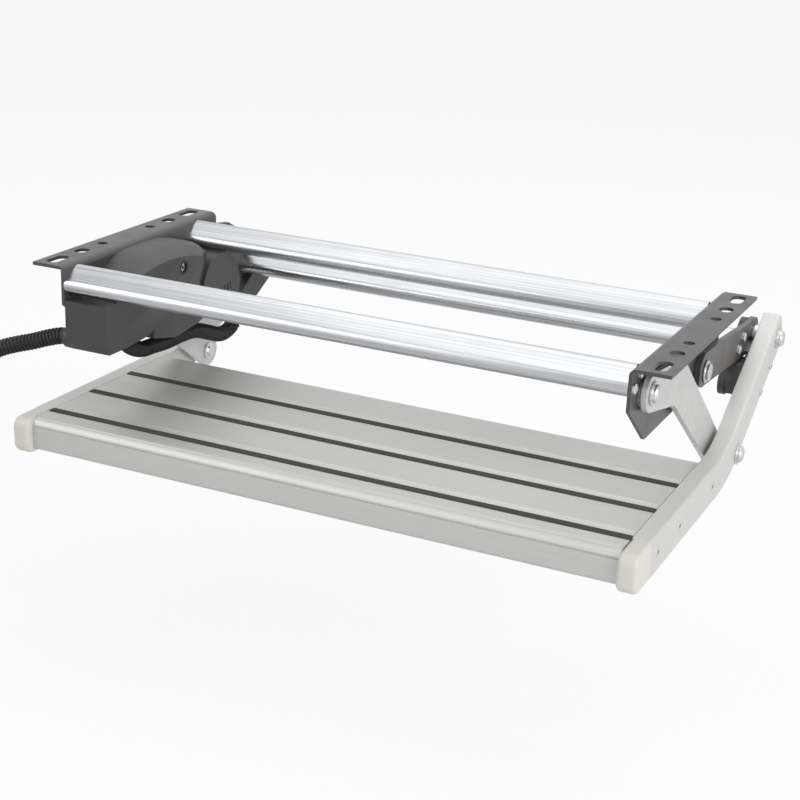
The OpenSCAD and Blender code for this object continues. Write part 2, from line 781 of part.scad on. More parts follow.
// Puts children, drawn along +Z from the worm's contact point, onto the motor's axis
module on_motor_axis(s) {
    translate([-worm_x, worm_axis_top[0] + s*cos(motor_tilt), worm_axis_top[1] + s*sin(motor_tilt)])
        rotate([motor_tilt, 0, 0]) rotate([-90, 0, 0]) children();
}

module output_shaft() {
    color(c_zinc) mirror([1, 0, 0])
    difference() {
        union() {
            xbar(rear_pivot, shaft_r, plate_in - 36, rear_lever_in);
            xbar(rear_pivot, pivot_r - 0.02, rear_lever_in - eps, rear_lever_out);
        }
        xbar(rear_pivot, 3.52, rear_lever_out - 15, rear_lever_out + 1);
    }
}

module worm_wheel() {
    pts = [for (i = [0:wheel_teeth*10 - 1]) let (a = i*36/wheel_teeth,
        r = wheel_r + tooth_a*cos(a*wheel_teeth - wheel_phase)) r*[cos(a), sin(a)]];
    color(c_brass) mirror([1, 0, 0])
    translate([worm_x - wheel_w/2, rear_pivot[0], rear_pivot[1]]) rotate([90, 0, 90])
    linear_extrude(wheel_w) difference() {
        polygon(pts);
        circle(r = shaft_r + 0.02, $fn = fine);
    }
}

worm_l = 15;
worm_pitch = 2*PI*wheel_r/wheel_teeth;
wheel_phase = (90 + motor_tilt)*wheel_teeth + 180;
worm_spindle_r = 2.5;
worm_tip_r = 2;
motor_rear = -88;
motor_nose_l = 4;

module worm_shaft() {
    turns = worm_l/worm_pitch;
    color(c_zinc) {
        on_motor_axis(-worm_l/2) rotate(180*turns + 90) linear_extrude(worm_l, twist = 360*turns,
            slices = ceil(turns*14)) translate([thread_a, 0]) circle(r = worm_r, $fn = 20);
        on_motor_axis(motor_rear - 8) cylinder(r = worm_spindle_r, h = -motor_rear + 8 - worm_l/2 + eps, $fn = fine);
        on_motor_axis(worm_l/2 - eps) cylinder(r = worm_tip_r, h = 6, $fn = fine);
    }
}

module motor_can() {
    color("#6e7073")
    difference() {
        union() {
            on_motor_axis(motor_rear - motor_l) cylinder(r = motor_r, h = motor_l, $fn = fine);
            on_motor_axis(motor_rear - eps) cylinder(r = 6, h = motor_nose_l, $fn = fine);
        }
        on_motor_axis(motor_rear - 20) cylinder(r = worm_spindle_r + fit_gap, h = 40, $fn = fine);
    }
}

// A block that stands on the back plate and reaches round the motor's axis
module axis_block(s, thick, past, up, down, bore) {
    reach_x = plate_in - back_t - worm_x;
    difference() {
        on_motor_axis(s) translate([-reach_x, -up, 0]) cube([reach_x + past, up + down, thick]);
        on_motor_axis(s - 1) cylinder(r = bore, h = thick + 2, $fn = fine);
    }
}

module motor_clamps() {
    color(c_plastic)
    for (s = [-164, -106]) axis_block(s, 8, 4, motor_r + 1.5, motor_r + 1.5, motor_r);
}

module worm_bearings() {
    color(c_brass) {
        axis_block(-24, 8, 3.4, 3.5, 7, worm_spindle_r + fit_gap);
        axis_block(worm_l/2 + 2, 4, 3.4, 2.9, 6, worm_tip_r + fit_gap);
    }
}

back_t = 2.5;
face_x = plate_in - housing_w;

// Side outlines of the housing, drawn smaller by w for the hollow inside
lobe_front_y = -129.5;
lobe_top_z = -31.5;
lobe_low_z = -77.5;
dome_at = [-13, -47];
dome_l = 16;
dome_face_r = 34;
// Crown over the motor: its outline on the face, at the shoulder and against the back plate
crown_face = [[-119, -34], [-98, -22.5], [-80, -16.5], [-64, -12.8], [-47.5, -10.6], [-28, -9.8], [-9.3, -10.7],
    [11, -13.7], [31.5, -18.3], [24, -29], [19, -41], [17, -56], [-119, -56]];
crown_shoulder = [[-117, -34], [-92, -22], [-70, -12.5], [-52, -7.5], [-36, -5.7], [-6, -5.9], [20, -7.6],
    [42, -13.5], [56, -20.5], [56, -56], [-117, -56]];
crown_back = [[-112, -34], [-90, -23.5], [-69, -12.5], [-48, -4.6], [-36, -3.3], [-6, -3.3], [20, -3.8],
    [38, -7.4], [53, -12.5], [64, -17.8], [70, -22], [70, -56], [-112, -56]];
crown_shoulder_x = 11;
crown_back_x = 25;
drum_step = 5;
lower_step = 6;
bridge_step = 15;

module lobe_shape(w) {
    polygon([[lobe_front_y + w, lobe_top_z - w], [lobe_front_y + w, lobe_low_z + 6 + w],
        [lobe_front_y + 4 + w, lobe_low_z + w], [-98, lobe_low_z + w], [-62, lobe_low_z + 2.2 + w],
        [-44, lobe_low_z + 10 + w], [-13, lobe_low_z + 18 + w], [-13, lobe_top_z - w]]);
}

module lower_shape(w) {
    polygon([[-44 + w, -55], [-44 + w, -84 + w], [-6, -92.5 + w], [34, -88 + w], [62, -80 + w], [62, -55]]);
}

module bridge_shape(w) {
    polygon([[-70, -46], [-48, -24 - w], [-20, -11.5 - w], [8, -14.5 - w], [40, -24 - w], [60, -30 - w],
        [60, -70], [-36, -70]]);
}

module crown_slab(outline, x, thick, w) {
    side(x, x + thick) offset(delta = -w) polygon(outline);
}

// Whole outside of the cover, or its hollow inside where w is the wall and past runs out at the back
module housing_form(w, past) {
    back = plate_in - back_t + past;
    mirror([1, 0, 0]) {
        side(face_x + w, back) lobe_shape(w);
        side(face_x + lower_step + w, back) lower_shape(w);
        side(face_x + bridge_step + w, back) bridge_shape(w);
        translate([face_x + lower_step + w, dome_at[0], dome_at[1]]) rotate([0, 90, 0])
            cylinder(r1 = dome_face_r - w, r2 = dome_r - w, h = dome_l - w, $fn = 96);
        xbar(dome_at, dome_r - w - 0.2, face_x + lower_step + dome_l - w - eps, back);
        hull() {
            crown_slab(crown_face, face_x + w, 0.4, w);
            crown_slab(crown_shoulder, face_x + crown_shoulder_x, 0.4, w);
            crown_slab(crown_back, face_x + crown_back_x, back - face_x - crown_back_x, w);
        }
        xbar(rear_pivot, drum_r - w, face_x + drum_step + w, back);
    }
}

cap_x = face_x + drum_step;
cap_lip = 3.4;
cap_boss_r = drum_r - housing_wall - 0.4;
slot_n = 7;
slot_pitch = 5.2;
cover_bolt_r = 2.5;
bolt_recess_r = 5.2;
bolt_recess = 5;

module motor_cover() {
    color(c_plastic)
    difference() {
        housing_form(0, 0);
        difference() {
            housing_form(housing_wall, 1);
            mirror([1, 0, 0]) xbar(cover_bolt, bolt_recess_r + 1.6, face_x, plate_in);
        }
        mirror([1, 0, 0]) {
            xbar(cover_bolt, cover_bolt_r + 0.1, face_x - 1, plate_in);
            xbar(cover_bolt, bolt_recess_r, face_x - 1, face_x + bolt_recess);
            xbar(rear_pivot, cap_boss_r + 0.2, face_x, face_x + 9);
        }
        collar_cut(rear_start, rear_start_dir);
        collar_cut(rear_end, -rear_end_dir);
    }
}

module gear_case_cap() {
    color(c_plastic) mirror([1, 0, 0])
    difference() {
        union() {
            xbar(rear_pivot, drum_r, cap_x - cap_lip, cap_x);
            xbar(rear_pivot, cap_boss_r, cap_x - eps, cap_x + 4);
        }
        xbar(rear_pivot, cap_boss_r - housing_wall, cap_x - 1, cap_x + 5);
        for (i = [0:slot_n - 1])
            translate([cap_x - cap_lip - 1, rear_pivot_y - 16 + i*slot_pitch, rear_pivot_z - 14 + i*1.2])
            cube([cap_lip + 2, 1.6, 10 - i*0.3]);
    }
}

cover_bolt = [-1, -22.8];

module housing_bolt() {
    head = 3.6;
    color(c_zinc) mirror([1, 0, 0]) {
        xbar(cover_bolt, cover_bolt_r, face_x + bolt_recess - eps, plate_in - back_t);
        translate([face_x + bolt_recess - head, cover_bolt[0], cover_bolt[1]]) rotate([0, 90, 0])
            cylinder(r = 4.4, h = head, $fn = 6);
    }
}

module housing_back_plate() {
    back = plate_in - back_t;
    color(c_plastic) mirror([1, 0, 0])
    difference() {
        union() {
            side(back, plate_in) lobe_shape(0);
            side(back, plate_in) lower_shape(0);
            side(back, plate_in) bridge_shape(0);
            xbar(dome_at, dome_r - 0.2, back, plate_in);
            side(back, plate_in) polygon(crown_back);
            xbar(rear_pivot, drum_r, back, plate_in);
        }
        xbar(rear_pivot, bush_r + 2.6, back - 1, plate_in + 1);
        xbar(gland_at, gland_r + 0.1, back - 1, plate_in + 1);
        xbar(front_pivot, pivot_r + 3, back - 1, plate_in + 1);
    }
}

module limit_switch() {
    color("#26262b") mirror([1, 0, 0]) {
        translate([plate_in - back_t - 10, rear_pivot_y - 13, rear_pivot_z - 27]) cube([10, 20, 7.5]);
        translate([plate_in - back_t - 7, rear_pivot_y - 8, rear_pivot_z - 19.5 - eps]) cube([4, 4, 1.2]);
    }
}

// Conduit

// Points on a smooth curve through the route, and a frame that doesn't twist
function curve_point(p, i, t) =
    let (n = len(p) - 1, a = p[max(i - 1, 0)], b = p[i], c = p[min(i + 1, n)], d = p[min(i + 2, n)])
    0.5*(2*b + (c - a)*t + (2*a - 5*b + 4*c - d)*t*t + (3*b - 3*c + d - a)*t*t*t);
function curve(p, m) = concat([for (i = [0:len(p) - 2], j = [0:m - 1]) curve_point(p, i, j/m)],
    [p[len(p) - 1]]);
function unit(v) = v/norm(v);
function lengths(p, i = 1, acc = [0]) = i == len(p) ? acc
    : lengths(p, i + 1, concat(acc, [acc[i - 1] + norm(p[i] - p[i - 1])]));
function even(p, step) = let (l = lengths(p), total = l[len(l) - 1], n = max(2, round(total/step)))
    [for (k = [0:n]) at_length(p, l, total*k/n)];
function at_length(p, l, s) = let (i = min(search_below(l, s), len(p) - 2),
    t = (s - l[i])/(l[i + 1] - l[i])) p[i] + t*(p[i + 1] - p[i]);
function search_below(l, s, a = 0, b = -1) = let (hi = b < 0 ? len(l) - 1 : b)
    hi - a <= 1 ? a : let (m = floor((a + hi)/2)) l[m] <= s ? search_below(l, s, m, hi) : search_below(l, s, a, m);
function tangent(p, i, d0, d1) = i == 0 ? d0 : i == len(p) - 1 ? d1 : unit(p[i + 1] - p[i - 1]);
function normals(p, d0, d1, i = 0, acc = []) = i == len(p) ? acc
    : let (t = tangent(p, i, d0, d1),
        seed = i == 0 ? (abs(t[2]) < 0.9 ? [0, 0, 1] : [0, 1, 0]) : acc[i - 1],
        n = unit(seed - (seed*t)*t))
    normals(p, d0, d1, i + 1, concat(acc, [n]));

// Rings of a tube, with the radius that each ring has
function ring(c, t, n, r, sides) = let (b = cross(t, n))
    [for (k = [0:sides - 1]) let (a = 360*k/sides) c + r*(cos(a)*n + sin(a)*b)];

// A tube along even points, its outer radius alternating for the ribs, with an open bore
module ribbed_tube(route, d0, d1, bore) {
    sides = 8;
    half = even(curve(route, 8), hose_pitch/2);
    n = len(half);
    nn = normals(half, d0, d1);
    flat = ceil(hose_r*2/hose_pitch)*2/4;
    outer = [for (i = [0:n - 1]) let (r = (i % 2 == 0 || i < flat || i > n - 1 - flat) ? hose_r : hose_r - hose_groove)
        each ring(half[i], tangent(half, i, d0, d1), nn[i], r, sides)];
    skip = 6;
    inner_i = concat([for (i = [0:skip:n - 1 - skip/2]) i], [n - 1]);
    m = len(inner_i);
    inner = [for (i = inner_i) each ring(half[i], tangent(half, i, d0, d1), nn[i], bore, sides)];
    base = n*sides;
    faces = concat(
        [for (i = [0:n - 2], k = [0:sides - 1]) each let (a = i*sides + k, b = i*sides + (k + 1)%sides,
            c = a + sides, d = b + sides) [[a, c, b], [b, c, d]]],
        [for (i = [0:m - 2], k = [0:sides - 1]) each let (a = base + i*sides + k,
            b = base + i*sides + (k + 1)%sides, c = a + sides, d = b + sides) [[a, b, c], [b, d, c]]],
        [for (k = [0:sides - 1]) each let (a = k, b = (k + 1)%sides, c = base + a, d = base + b)
            [[a, b, c], [b, d, c]]],
        [for (k = [0:sides - 1]) each let (a = (n - 1)*sides + k, b = (n - 1)*sides + (k + 1)%sides,
            c = base + (m - 1)*sides + k, d = base + (m - 1)*sides + (k + 1)%sides) [[a, c, b], [b, c, d]]]);
    polyhedron(concat(outer, inner), faces);
}

// Rear conduit: from the gear case, down and round, forward into the motor lobe
rear_hose_x = -plate_in + 20;
rear_start_dir = unit([0, 1, -0.35]);
rear_start = [rear_hose_x, rear_pivot_y, rear_pivot_z] + (drum_r + 1)*unit([0, 0.92, -0.39]);
rear_end = [rear_hose_x, -64, -78];
rear_end_dir = unit([0, -0.35, 1]);
rear_route = [rear_start, rear_start + 12*rear_start_dir, [rear_hose_x, 131, -88], [rear_hose_x, 138, -100],
    [rear_hose_x, 135, -112], [rear_hose_x, 124, -120.5], [rear_hose_x, 105, -122], [rear_hose_x, 82, -114],
    [rear_hose_x, 57, -105.5], [rear_hose_x, 30, -103], [rear_hose_x, 5, -103], [rear_hose_x, -20, -101],
    [rear_hose_x, -40, -99], rear_end - 12*rear_end_dir, rear_end];

module along(p, d) {
    a = acos(d[2]);
    axis = norm([d[0], d[1]]) < 1e-6 ? [1, 0, 0] : [-d[1], d[0], 0];
    translate(p) rotate(a = a, v = axis) children();
}

module collar_cut(p, d) {
    along(p, d) translate([0, 0, -14]) cylinder(r = hose_r + 0.1, h = 16, $fn = fine);
}

module rear_conduit() {
    color(c_hose) ribbed_tube(rear_route, rear_start_dir, rear_end_dir, hose_bore);
}

module rear_conduit_collars() {
    color(c_plastic)
    for (c = [[rear_start, rear_start_dir], [rear_end, -rear_end_dir]])
    difference() {
        along(c[0], c[1]) translate([0, 0, -6]) cylinder(r = hose_r, h = 6, $fn = fine);
        along(c[0], c[1]) translate([0, 0, -7]) cylinder(r = hose_bore, h = 9, $fn = fine);
    }
}

gland_at = [-119.8, -69];
gland_r = 6;
gland_bore = 4.4;
gland_x = -plate_in - 4;

module conduit_gland() {
    color(c_plastic) mirror([1, 0, 0])
    difference() {
        union() {
            xbar(gland_at, gland_r, plate_in - back_t - 5, plate_in + 1);
            xbar(gland_at, hose_r + 1.8, plate_in, -gland_x);
        }
        xbar(gland_at, gland_bore, plate_in - 20, plate_in + 10);
    }
}

// Coil of the stored length on the ground, past the left of the step
coil_at = [-478, -265];
coil_z = floor_z + hose_r;
coil_start = 90;
tail_r = 64;
tail_turn = 80;
coil_end_a = 360*coil_turns;

function spiral(a) = let (r = coil_r - coil_step*a/360)
    [coil_at[0] + r*cos(coil_start + a), coil_at[1] + r*sin(coil_start + a), coil_z];
function flat_heading(a) = let (v = spiral(a + 0.5) - spiral(a - 0.5)) atan2(v[1], v[0]);
coil_end_heading = flat_heading(coil_end_a);
tail_centre = spiral(coil_end_a) + tail_r*[-sin(coil_end_heading), cos(coil_end_heading), 0];
function coil_heading(a) = a <= coil_end_a ? flat_heading(a) : coil_end_heading + a - coil_end_a;
function coil_point(a) = a <= coil_end_a ? spiral(a)
    : tail_centre + tail_r*[sin(coil_heading(a)), -cos(coil_heading(a)), 0];
function coil_dir(a) = [cos(coil_heading(a)), sin(coil_heading(a)), 0];
coil_last_a = coil_end_a + tail_turn;

supply_start = [gland_x, gland_at[0], gland_at[1]];
supply_route = [supply_start, supply_start - [8, 0, 0.5], [-293, -121.2, -73.5], [-309, -124.2, -79],
    [-326, -128, -84], [-344, -131, -91],
    [-363, -133, -104], [-383, -139, -121.5], [-403, -144, -138.5], [-422, -148, -152], [-442, -151, -161],
    coil_point(0) - 16*coil_dir(0), coil_point(0)];

module supply_conduit() {
    color(c_hose) ribbed_tube(supply_route, [-1, 0, 0], coil_dir(0), hose_bore);
}

module conduit_coil() {
    sides = 6;
    step = 15;
    n = round(coil_last_a/step);
    rings = [for (i = [0:n]) each ring(coil_point(i*coil_last_a/n), coil_dir(i*coil_last_a/n), [0, 0, 1], hose_r, sides)];
    probe = [for (a = [0:3:coil_last_a]) [a, coil_point(a)]];
    gaps = [for (p = probe, q = probe) if (q[0] - p[0] > 90) norm(q[1] - p[1]) - 2*hose_r];
    echo(least_gap_in_coil = min(gaps));
    echo(supply_length = route_length(supply_route), coil_length = coil_length());
    faces = concat(
        [for (i = [0:n - 1], k = [0:sides - 1]) each let (a = i*sides + k, b = i*sides + (k + 1)%sides,
            c = a + sides, d = b + sides) [[a, c, b], [b, c, d]]],
        [[for (k = [0:sides - 1]) k]],
        [[for (k = [sides - 1:-1:0]) n*sides + k]]);
    color(c_hose) polyhedron(rings, faces);
}

function route_length(route) = let (l = lengths(curve(route, 8))) l[len(l) - 1];
function coil_length() = let (l = lengths([for (a = [0:3:coil_last_a]) coil_point(a)])) l[len(l) - 1];

module conduit_plug() {
    color("#2b2b2d") along(coil_point(coil_last_a), coil_dir(coil_last_a)) {
        cylinder(r = hose_r - 0.6, h = 10, $fn = fine);
        translate([-7.5, -7.4, 10 - eps]) cube([15, 14.8, 26]);
        translate([-5.5, -5.5, 36 - 2*eps]) cube([11, 11, 6]);
    }
}

tread_panel();
front_grip_strip();
middle_grip_strip();
rear_grip_strip();
left_arm();
right_arm();
left_end_cap();
right_end_cap();
arm_screws();
left_pivot_fork();
right_pivot_fork();
fork_screws();
upper_step_bolts();
upper_pivot_spacers();
lower_step_bolts();
lower_pivot_spacers();
left_bracket();
right_bracket();
front_tube();
rear_tube();
tube_screws();
left_front_lever();
right_front_lever();
front_pivot_bolts();
front_pivot_washers();
lever_rivets();
left_rear_lever();
right_rear_lever();
link_tube();
link_tube_screws();
rear_pivot_bolt();
rear_pivot_washer();
shaft_bush();
output_shaft();
shaft_bolt();
worm_wheel();
worm_shaft();
motor_can();
motor_clamps();
worm_bearings();
housing_back_plate();
motor_cover();
gear_case_cap();
housing_bolt();
limit_switch();
rear_conduit();
rear_conduit_collars();
conduit_gland();
supply_conduit();
conduit_coil();
conduit_plug();
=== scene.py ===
import json
import math

import bmesh
import bpy
from bpy.props import FloatProperty, FloatVectorProperty, IntProperty, PointerProperty
from mathutils import Matrix, Vector


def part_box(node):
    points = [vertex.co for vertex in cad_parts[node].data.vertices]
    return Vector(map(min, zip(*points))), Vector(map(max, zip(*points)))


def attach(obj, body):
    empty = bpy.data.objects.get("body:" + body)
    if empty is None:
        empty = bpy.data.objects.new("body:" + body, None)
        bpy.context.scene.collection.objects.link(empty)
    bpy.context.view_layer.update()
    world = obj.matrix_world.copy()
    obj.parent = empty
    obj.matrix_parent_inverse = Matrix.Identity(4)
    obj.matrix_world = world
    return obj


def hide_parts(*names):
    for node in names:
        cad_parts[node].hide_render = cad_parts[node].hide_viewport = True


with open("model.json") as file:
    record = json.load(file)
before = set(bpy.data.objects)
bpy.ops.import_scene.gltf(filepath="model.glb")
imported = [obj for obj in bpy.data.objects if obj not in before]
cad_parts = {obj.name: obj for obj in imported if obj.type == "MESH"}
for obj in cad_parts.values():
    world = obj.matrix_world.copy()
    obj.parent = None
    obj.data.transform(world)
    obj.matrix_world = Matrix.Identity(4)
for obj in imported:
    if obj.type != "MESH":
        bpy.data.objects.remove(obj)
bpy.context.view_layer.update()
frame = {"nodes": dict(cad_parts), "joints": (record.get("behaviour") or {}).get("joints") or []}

bl_info = {
    "name": "Caravan Pull Out Step",
    "version": (1, 0, 0),
    "blender": (4, 5, 0),
    "location": "View3D > Sidebar > Step",
    "description": "Dresses the packed model of a caravan pull out step",
    "category": "Object",
}

NODES = frame["nodes"]
MM = 0.001

SIDES = ((-1, "left"), (1, "right"))
# Points closer than this are one point, and faces that turn less are one face
MERGE = 0.002 * MM
FLAT_ANGLE = math.radians(0.6)


def corners(node):
    """The low and the high corner of a CAD node."""
    return [Vector(corner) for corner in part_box(node)]


# Places that the frame gives
TREAD_LOW, TREAD_HIGH = corners("tread_panel")
ARM_LOW, ARM_HIGH = corners("right_arm")
CAP_LOW, CAP_HIGH = corners("right_end_cap")
COVER_FACE_X = corners("motor_cover")[1].x
JOINTS = {joint["name"]: joint for joint in frame["joints"]}
UNDERSIDE_Z = ARM_LOW.z
REAR_PIVOT = Vector(JOINTS["step_swing"]["pos_m"])
FRONT_PIVOT = Vector(JOINTS["front_lever_swing"]["pos_m"])
LOWER_PIVOT = Vector([sum(ends) / 2 for ends in zip(*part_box("lower_step_bolts"))])

# The floor lies below the lowest place that the step swings through, or it would hide the step
LEVER_REACH = math.hypot(LOWER_PIVOT.y - FRONT_PIVOT.y, LOWER_PIVOT.z - FRONT_PIVOT.z)
FLOOR_CLEARANCE = 60 * MM
FLOOR_Z = FRONT_PIVOT.z - LEVER_REACH - (LOWER_PIVOT.z - UNDERSIDE_Z) - FLOOR_CLEARANCE
FLOOR_HALF_SIDE = 12
# How white the paper is, and the share of its look that a camera sees as plain white
PAPER_WHITE = 0.88
GLOW_SHARE = 0.86
# The sky's light on the object; a camera and reflections see it at full strength
SKY_LIGHT = 0.5
# Lamps: name, place, what it points at, width across and power in watts
LAMPS = (
    ("key_lamp", (-2.1, -2.0, 2.0), (0, 0, -0.1), 2.2, 29),
    ("fill_lamp", (2.4, -1.2, 0.9), (0.1, 0, -0.1), 1.9, 40),
    ("top_lamp", (0.1, 0.9, 2.4), (0, 0, -0.1), 3.6, 30),
)

# The photograph's camera: its place, and its turns round the vertical, the level and its own axis
CAMERA_AT = Vector((0.62327, -1.31105, 0.40151))
CAMERA_AZIMUTH = math.radians(24.997)
CAMERA_ELEVATION = math.radians(19.609)
CAMERA_ROLL = math.radians(2.350)
CAMERA_LENS_MM = 74.83
SENSOR_MM = 36.0

# Screws: node, body, and the radius, height and foot of its heads
SCREWS = (
    ("tube_screws", "frame", 4.6 * MM, 2.9 * MM, 2.9 * MM),
    ("link_tube_screws", "rear_levers", 4.6 * MM, 2.9 * MM, 2.9 * MM),
    ("fork_screws", "step", 3.7 * MM, 0.5 * MM, 0.0),
    ("arm_screws", "step", 4.4 * MM, 0.5 * MM, 0.0),
)
# A head's crown, by its angles up from the rim, and the drive's share of its radius
CROWN_TURNS = [math.radians(turn) for turn in (0, 15, 30, 45, 60, 70)]
DRIVE_SHARE = 0.42

# Cross tubes: flat with round ends, tilted. The pitch is between the middles of the round ends.
TUBE_RADIUS = 7 * MM
TUBE_PITCH = 17.4 * MM
TUBE_TILT = math.radians(30)

# Tread: the pitch and depth of the ribs on the land at the nose, and on those behind it
NOSE_RIBS = (4.4 * MM, 0.35 * MM)
LAND_RIBS = (2.6 * MM, 0.28 * MM)
# Grip strips: their ribs, and the shares of a rib's width at which its top ends and the floor of
# its groove starts and ends
STRIP_RIBS = 4
STRIP_RIB_TOP, STRIP_GROOVE_START, STRIP_GROOVE_END = 0.62, 0.72, 0.9

# Arms: the middle line's bend, in the plane that runs front to back
ARM_HEIGHT = 34.5 * MM
BEND_Y = 96 * MM
BEND_RISE = math.radians(30)
BEND_RADIUS = 130 * MM
ARM_MID_Z = UNDERSIDE_Z + ARM_HEIGHT / 2
BEND_REACH = BEND_RADIUS * math.tan(BEND_RISE / 2)

CONDUIT_RADIUS = 8 * MM
# Both conduits' routes are the CAD model's, in millimetres. The supply conduit runs from its gland
# to the coil, with a straight lead into it. The coil has its middle, the radius that it starts
# with, what it loses in a turn, its turns and the angle of its start.
SUPPLY_ROUTE = [
    (-271, -119.8, -69), (-279, -119.8, -69.5), (-293, -121.2, -73.5), (-309, -124.2, -79),
    (-326, -128, -84), (-344, -131, -91), (-363, -133, -104), (-383, -139, -121.5),
    (-403, -144, -138.5), (-422, -148, -152), (-442, -151, -161),
]
COIL_AT = (-478, -265)
COIL_RADIUS = 113
COIL_STEP = 17
COIL_TURNS = 2
COIL_START = 90
COIL_LEAD_IN = 16
COIL_POINTS = 300
# The tail curls on inwards, through this many degrees
TAIL_RADIUS = 64
TAIL_TURN = 80

# The rear conduit leaves the gear case, whose middle is the rear pivot, hangs through (y, z)
# points and rises to the motor. It runs straight through a collar at each end.
GEAR_CASE_RADIUS = 35.6
GEAR_CASE_OUT = Vector((0, 0.92, -0.39)).normalized()
GEAR_CASE_WAY = Vector((0, 1, -0.35)).normalized()
MOTOR_ENTRY = (-64, -78)
MOTOR_WAY = Vector((0, -0.35, 1)).normalized()
COLLAR_RUN = 12
REAR_ROUTE = [
    (131, -88), (138, -100), (135, -112), (124, -120.5), (105, -122), (82, -114), (57, -105.5),
    (30, -103), (5, -103), (-20, -101), (-40, -99),
]


class StepSizes(bpy.types.PropertyGroup):
    """The sizes that a user would change"""
    edge_round: FloatProperty(
        name="Edge rounding", description="Radius of the rounded edges of steel sheet",
        default=0.5 * MM, min=0.1 * MM, max=1.2 * MM, subtype="DISTANCE", unit="LENGTH")
    moulded_round: FloatProperty(
        name="Moulded rounding", description="Radius of the moulded housing's edges",
        default=1.4 * MM, min=0.2 * MM, max=2.2 * MM, subtype="DISTANCE", unit="LENGTH")
    arm_round: FloatProperty(
        name="Arm rounding", description="Corner radius of an arm's section",
        default=3.4 * MM, min=1 * MM, max=5 * MM, subtype="DISTANCE", unit="LENGTH")
    rib_pitch: FloatProperty(
        name="Conduit rib pitch", description="Distance between the conduit's corrugations",
        default=3.8 * MM, min=3 * MM, max=5 * MM, subtype="DISTANCE", unit="LENGTH")
    rib_depth: FloatProperty(
        name="Conduit rib depth", description="Depth of the grooves between corrugations",
        default=1.5 * MM, min=0.5 * MM, max=2 * MM, subtype="DISTANCE", unit="LENGTH")
    rounding_segments: IntProperty(
        name="Rounding segments", description="Segments of each rounded edge",
        default=3, min=1, max=6)


def colour_property(name, description, value):
    """A property that holds a linear colour."""
    return FloatVectorProperty(
        name=name, description=description, default=value, size=3, min=0, max=1, subtype="COLOR")


def linear(hex_colour):
    """Linear values of an sRGB hex colour."""
    parts = [int(hex_colour[i:i + 2], 16) / 255 for i in (1, 3, 5)]
    return tuple(c / 12.92 if c <= 0.04045 else ((c + 0.055) / 1.055) ** 2.4 for c in parts)


class StepColours(bpy.types.PropertyGroup):
    """The colours that a user would change"""
    tread: colour_property("Tread", "Anodised aluminium of the tread", linear("#c1c1bf"))
    arm: colour_property("Arms", "Anodised aluminium of the arms", linear("#cbcbc9"))
    tube: colour_property("Tubes", "Mill aluminium of the cross tubes", linear("#c3c5c8"))
    strip: colour_property("Grip strips", "Rubber of the grip strips", linear("#3a3836"))
    cap: colour_property("End caps", "Off-white plastic of the end caps", linear("#cfcdc4"))
    bracket: colour_property("Brackets", "Powder coat of brackets, rear levers",
                             linear("#434140"))
    housing: colour_property("Housing", "Black plastic of the drive's housing", linear("#3a3938"))
    conduit: colour_property("Conduit", "Black plastic of the conduit", linear("#0d0d0d"))
    lever: colour_property("Front levers", "Zinc plated front levers", linear("#cbcbca"))
    zinc: colour_property("Fasteners", "Bright zinc of screws and washers", linear("#d0d1d2"))


def add_node(tree, kind, inputs=None, **settings):
    """Adds a node, sets its properties, and sets or links its inputs."""
    made = tree.nodes.new(kind)
    for key, value in settings.items():
        setattr(made, key, value)
    for key, value in (inputs or {}).items():
        if isinstance(value, bpy.types.NodeSocket):
            tree.links.new(value, made.inputs[key])
        else:
            made.inputs[key].default_value = value
    return made


def surface(name, colour, shader, grain_mm, tint, gloss, stretch=1.0, relief_mm=0.0,
            cloud_mm=60.0, follow="Object"):
    """A material whose fine grain tints and dents it, and whose broad cloud varies its gloss.

    The grain is grain_mm wide and stretched along X; tint holds its darkest and lightest share of
    the colour, and gloss the least and most roughness."""
    material = bpy.data.materials.new(name)
    material.use_nodes = True
    tree = material.node_tree
    tree.nodes.clear()
    place = add_node(tree, "ShaderNodeTexCoord").outputs[follow]
    drawn = add_node(tree, "ShaderNodeMapping", {"Vector": place, "Scale": (1 / stretch, 1, 1)})
    grain = add_node(tree, "ShaderNodeTexNoise", {
        "Vector": drawn.outputs[0], "Scale": 1 / (grain_mm * MM), "Detail": 3.0,
        "Roughness": 0.6}).outputs[0]
    cloud = add_node(tree, "ShaderNodeTexNoise", {
        "Vector": place, "Scale": 1 / (cloud_mm * MM), "Detail": 3.0}).outputs[0]
    share = add_node(tree, "ShaderNodeMapRange", {
        "Value": grain, "From Min": 0.3, "From Max": 0.7}).outputs[0]
    dark, light = ((*(min(1, c * part) for c in colour[:3]), 1) for part in tint)
    tinted = add_node(tree, "ShaderNodeMix", {0: share, 6: dark, 7: light}, data_type="RGBA")
    rough = add_node(tree, "ShaderNodeMapRange", {
        "Value": cloud, "From Min": 0.3, "From Max": 0.7, "To Min": gloss[0], "To Max": gloss[1]})
    inputs = {"Base Color": tinted.outputs[2], "Roughness": rough.outputs[0], **shader}
    if relief_mm:
        inputs["Normal"] = add_node(tree, "ShaderNodeBump", {
            "Height": grain, "Distance": relief_mm * MM}).outputs[0]
    principled = add_node(tree, "ShaderNodeBsdfPrincipled", inputs)
    add_node(tree, "ShaderNodeOutputMaterial", {0: principled.outputs[0]})
    return material


def anodised_extruded_aluminium(colours):
    # Extruded, etched matt and anodised: half metal, half pale haze, with die lines along its
    # length. They are 0.3 mm apart, drawn 1.2 mm apart so that they show.
    return surface("anodised_extruded_aluminium", colours.tread, {"Metallic": 0.5}, 1.2,
                   (0.95, 1.03), (0.42, 0.5), stretch=120, relief_mm=0.008, cloud_mm=70)


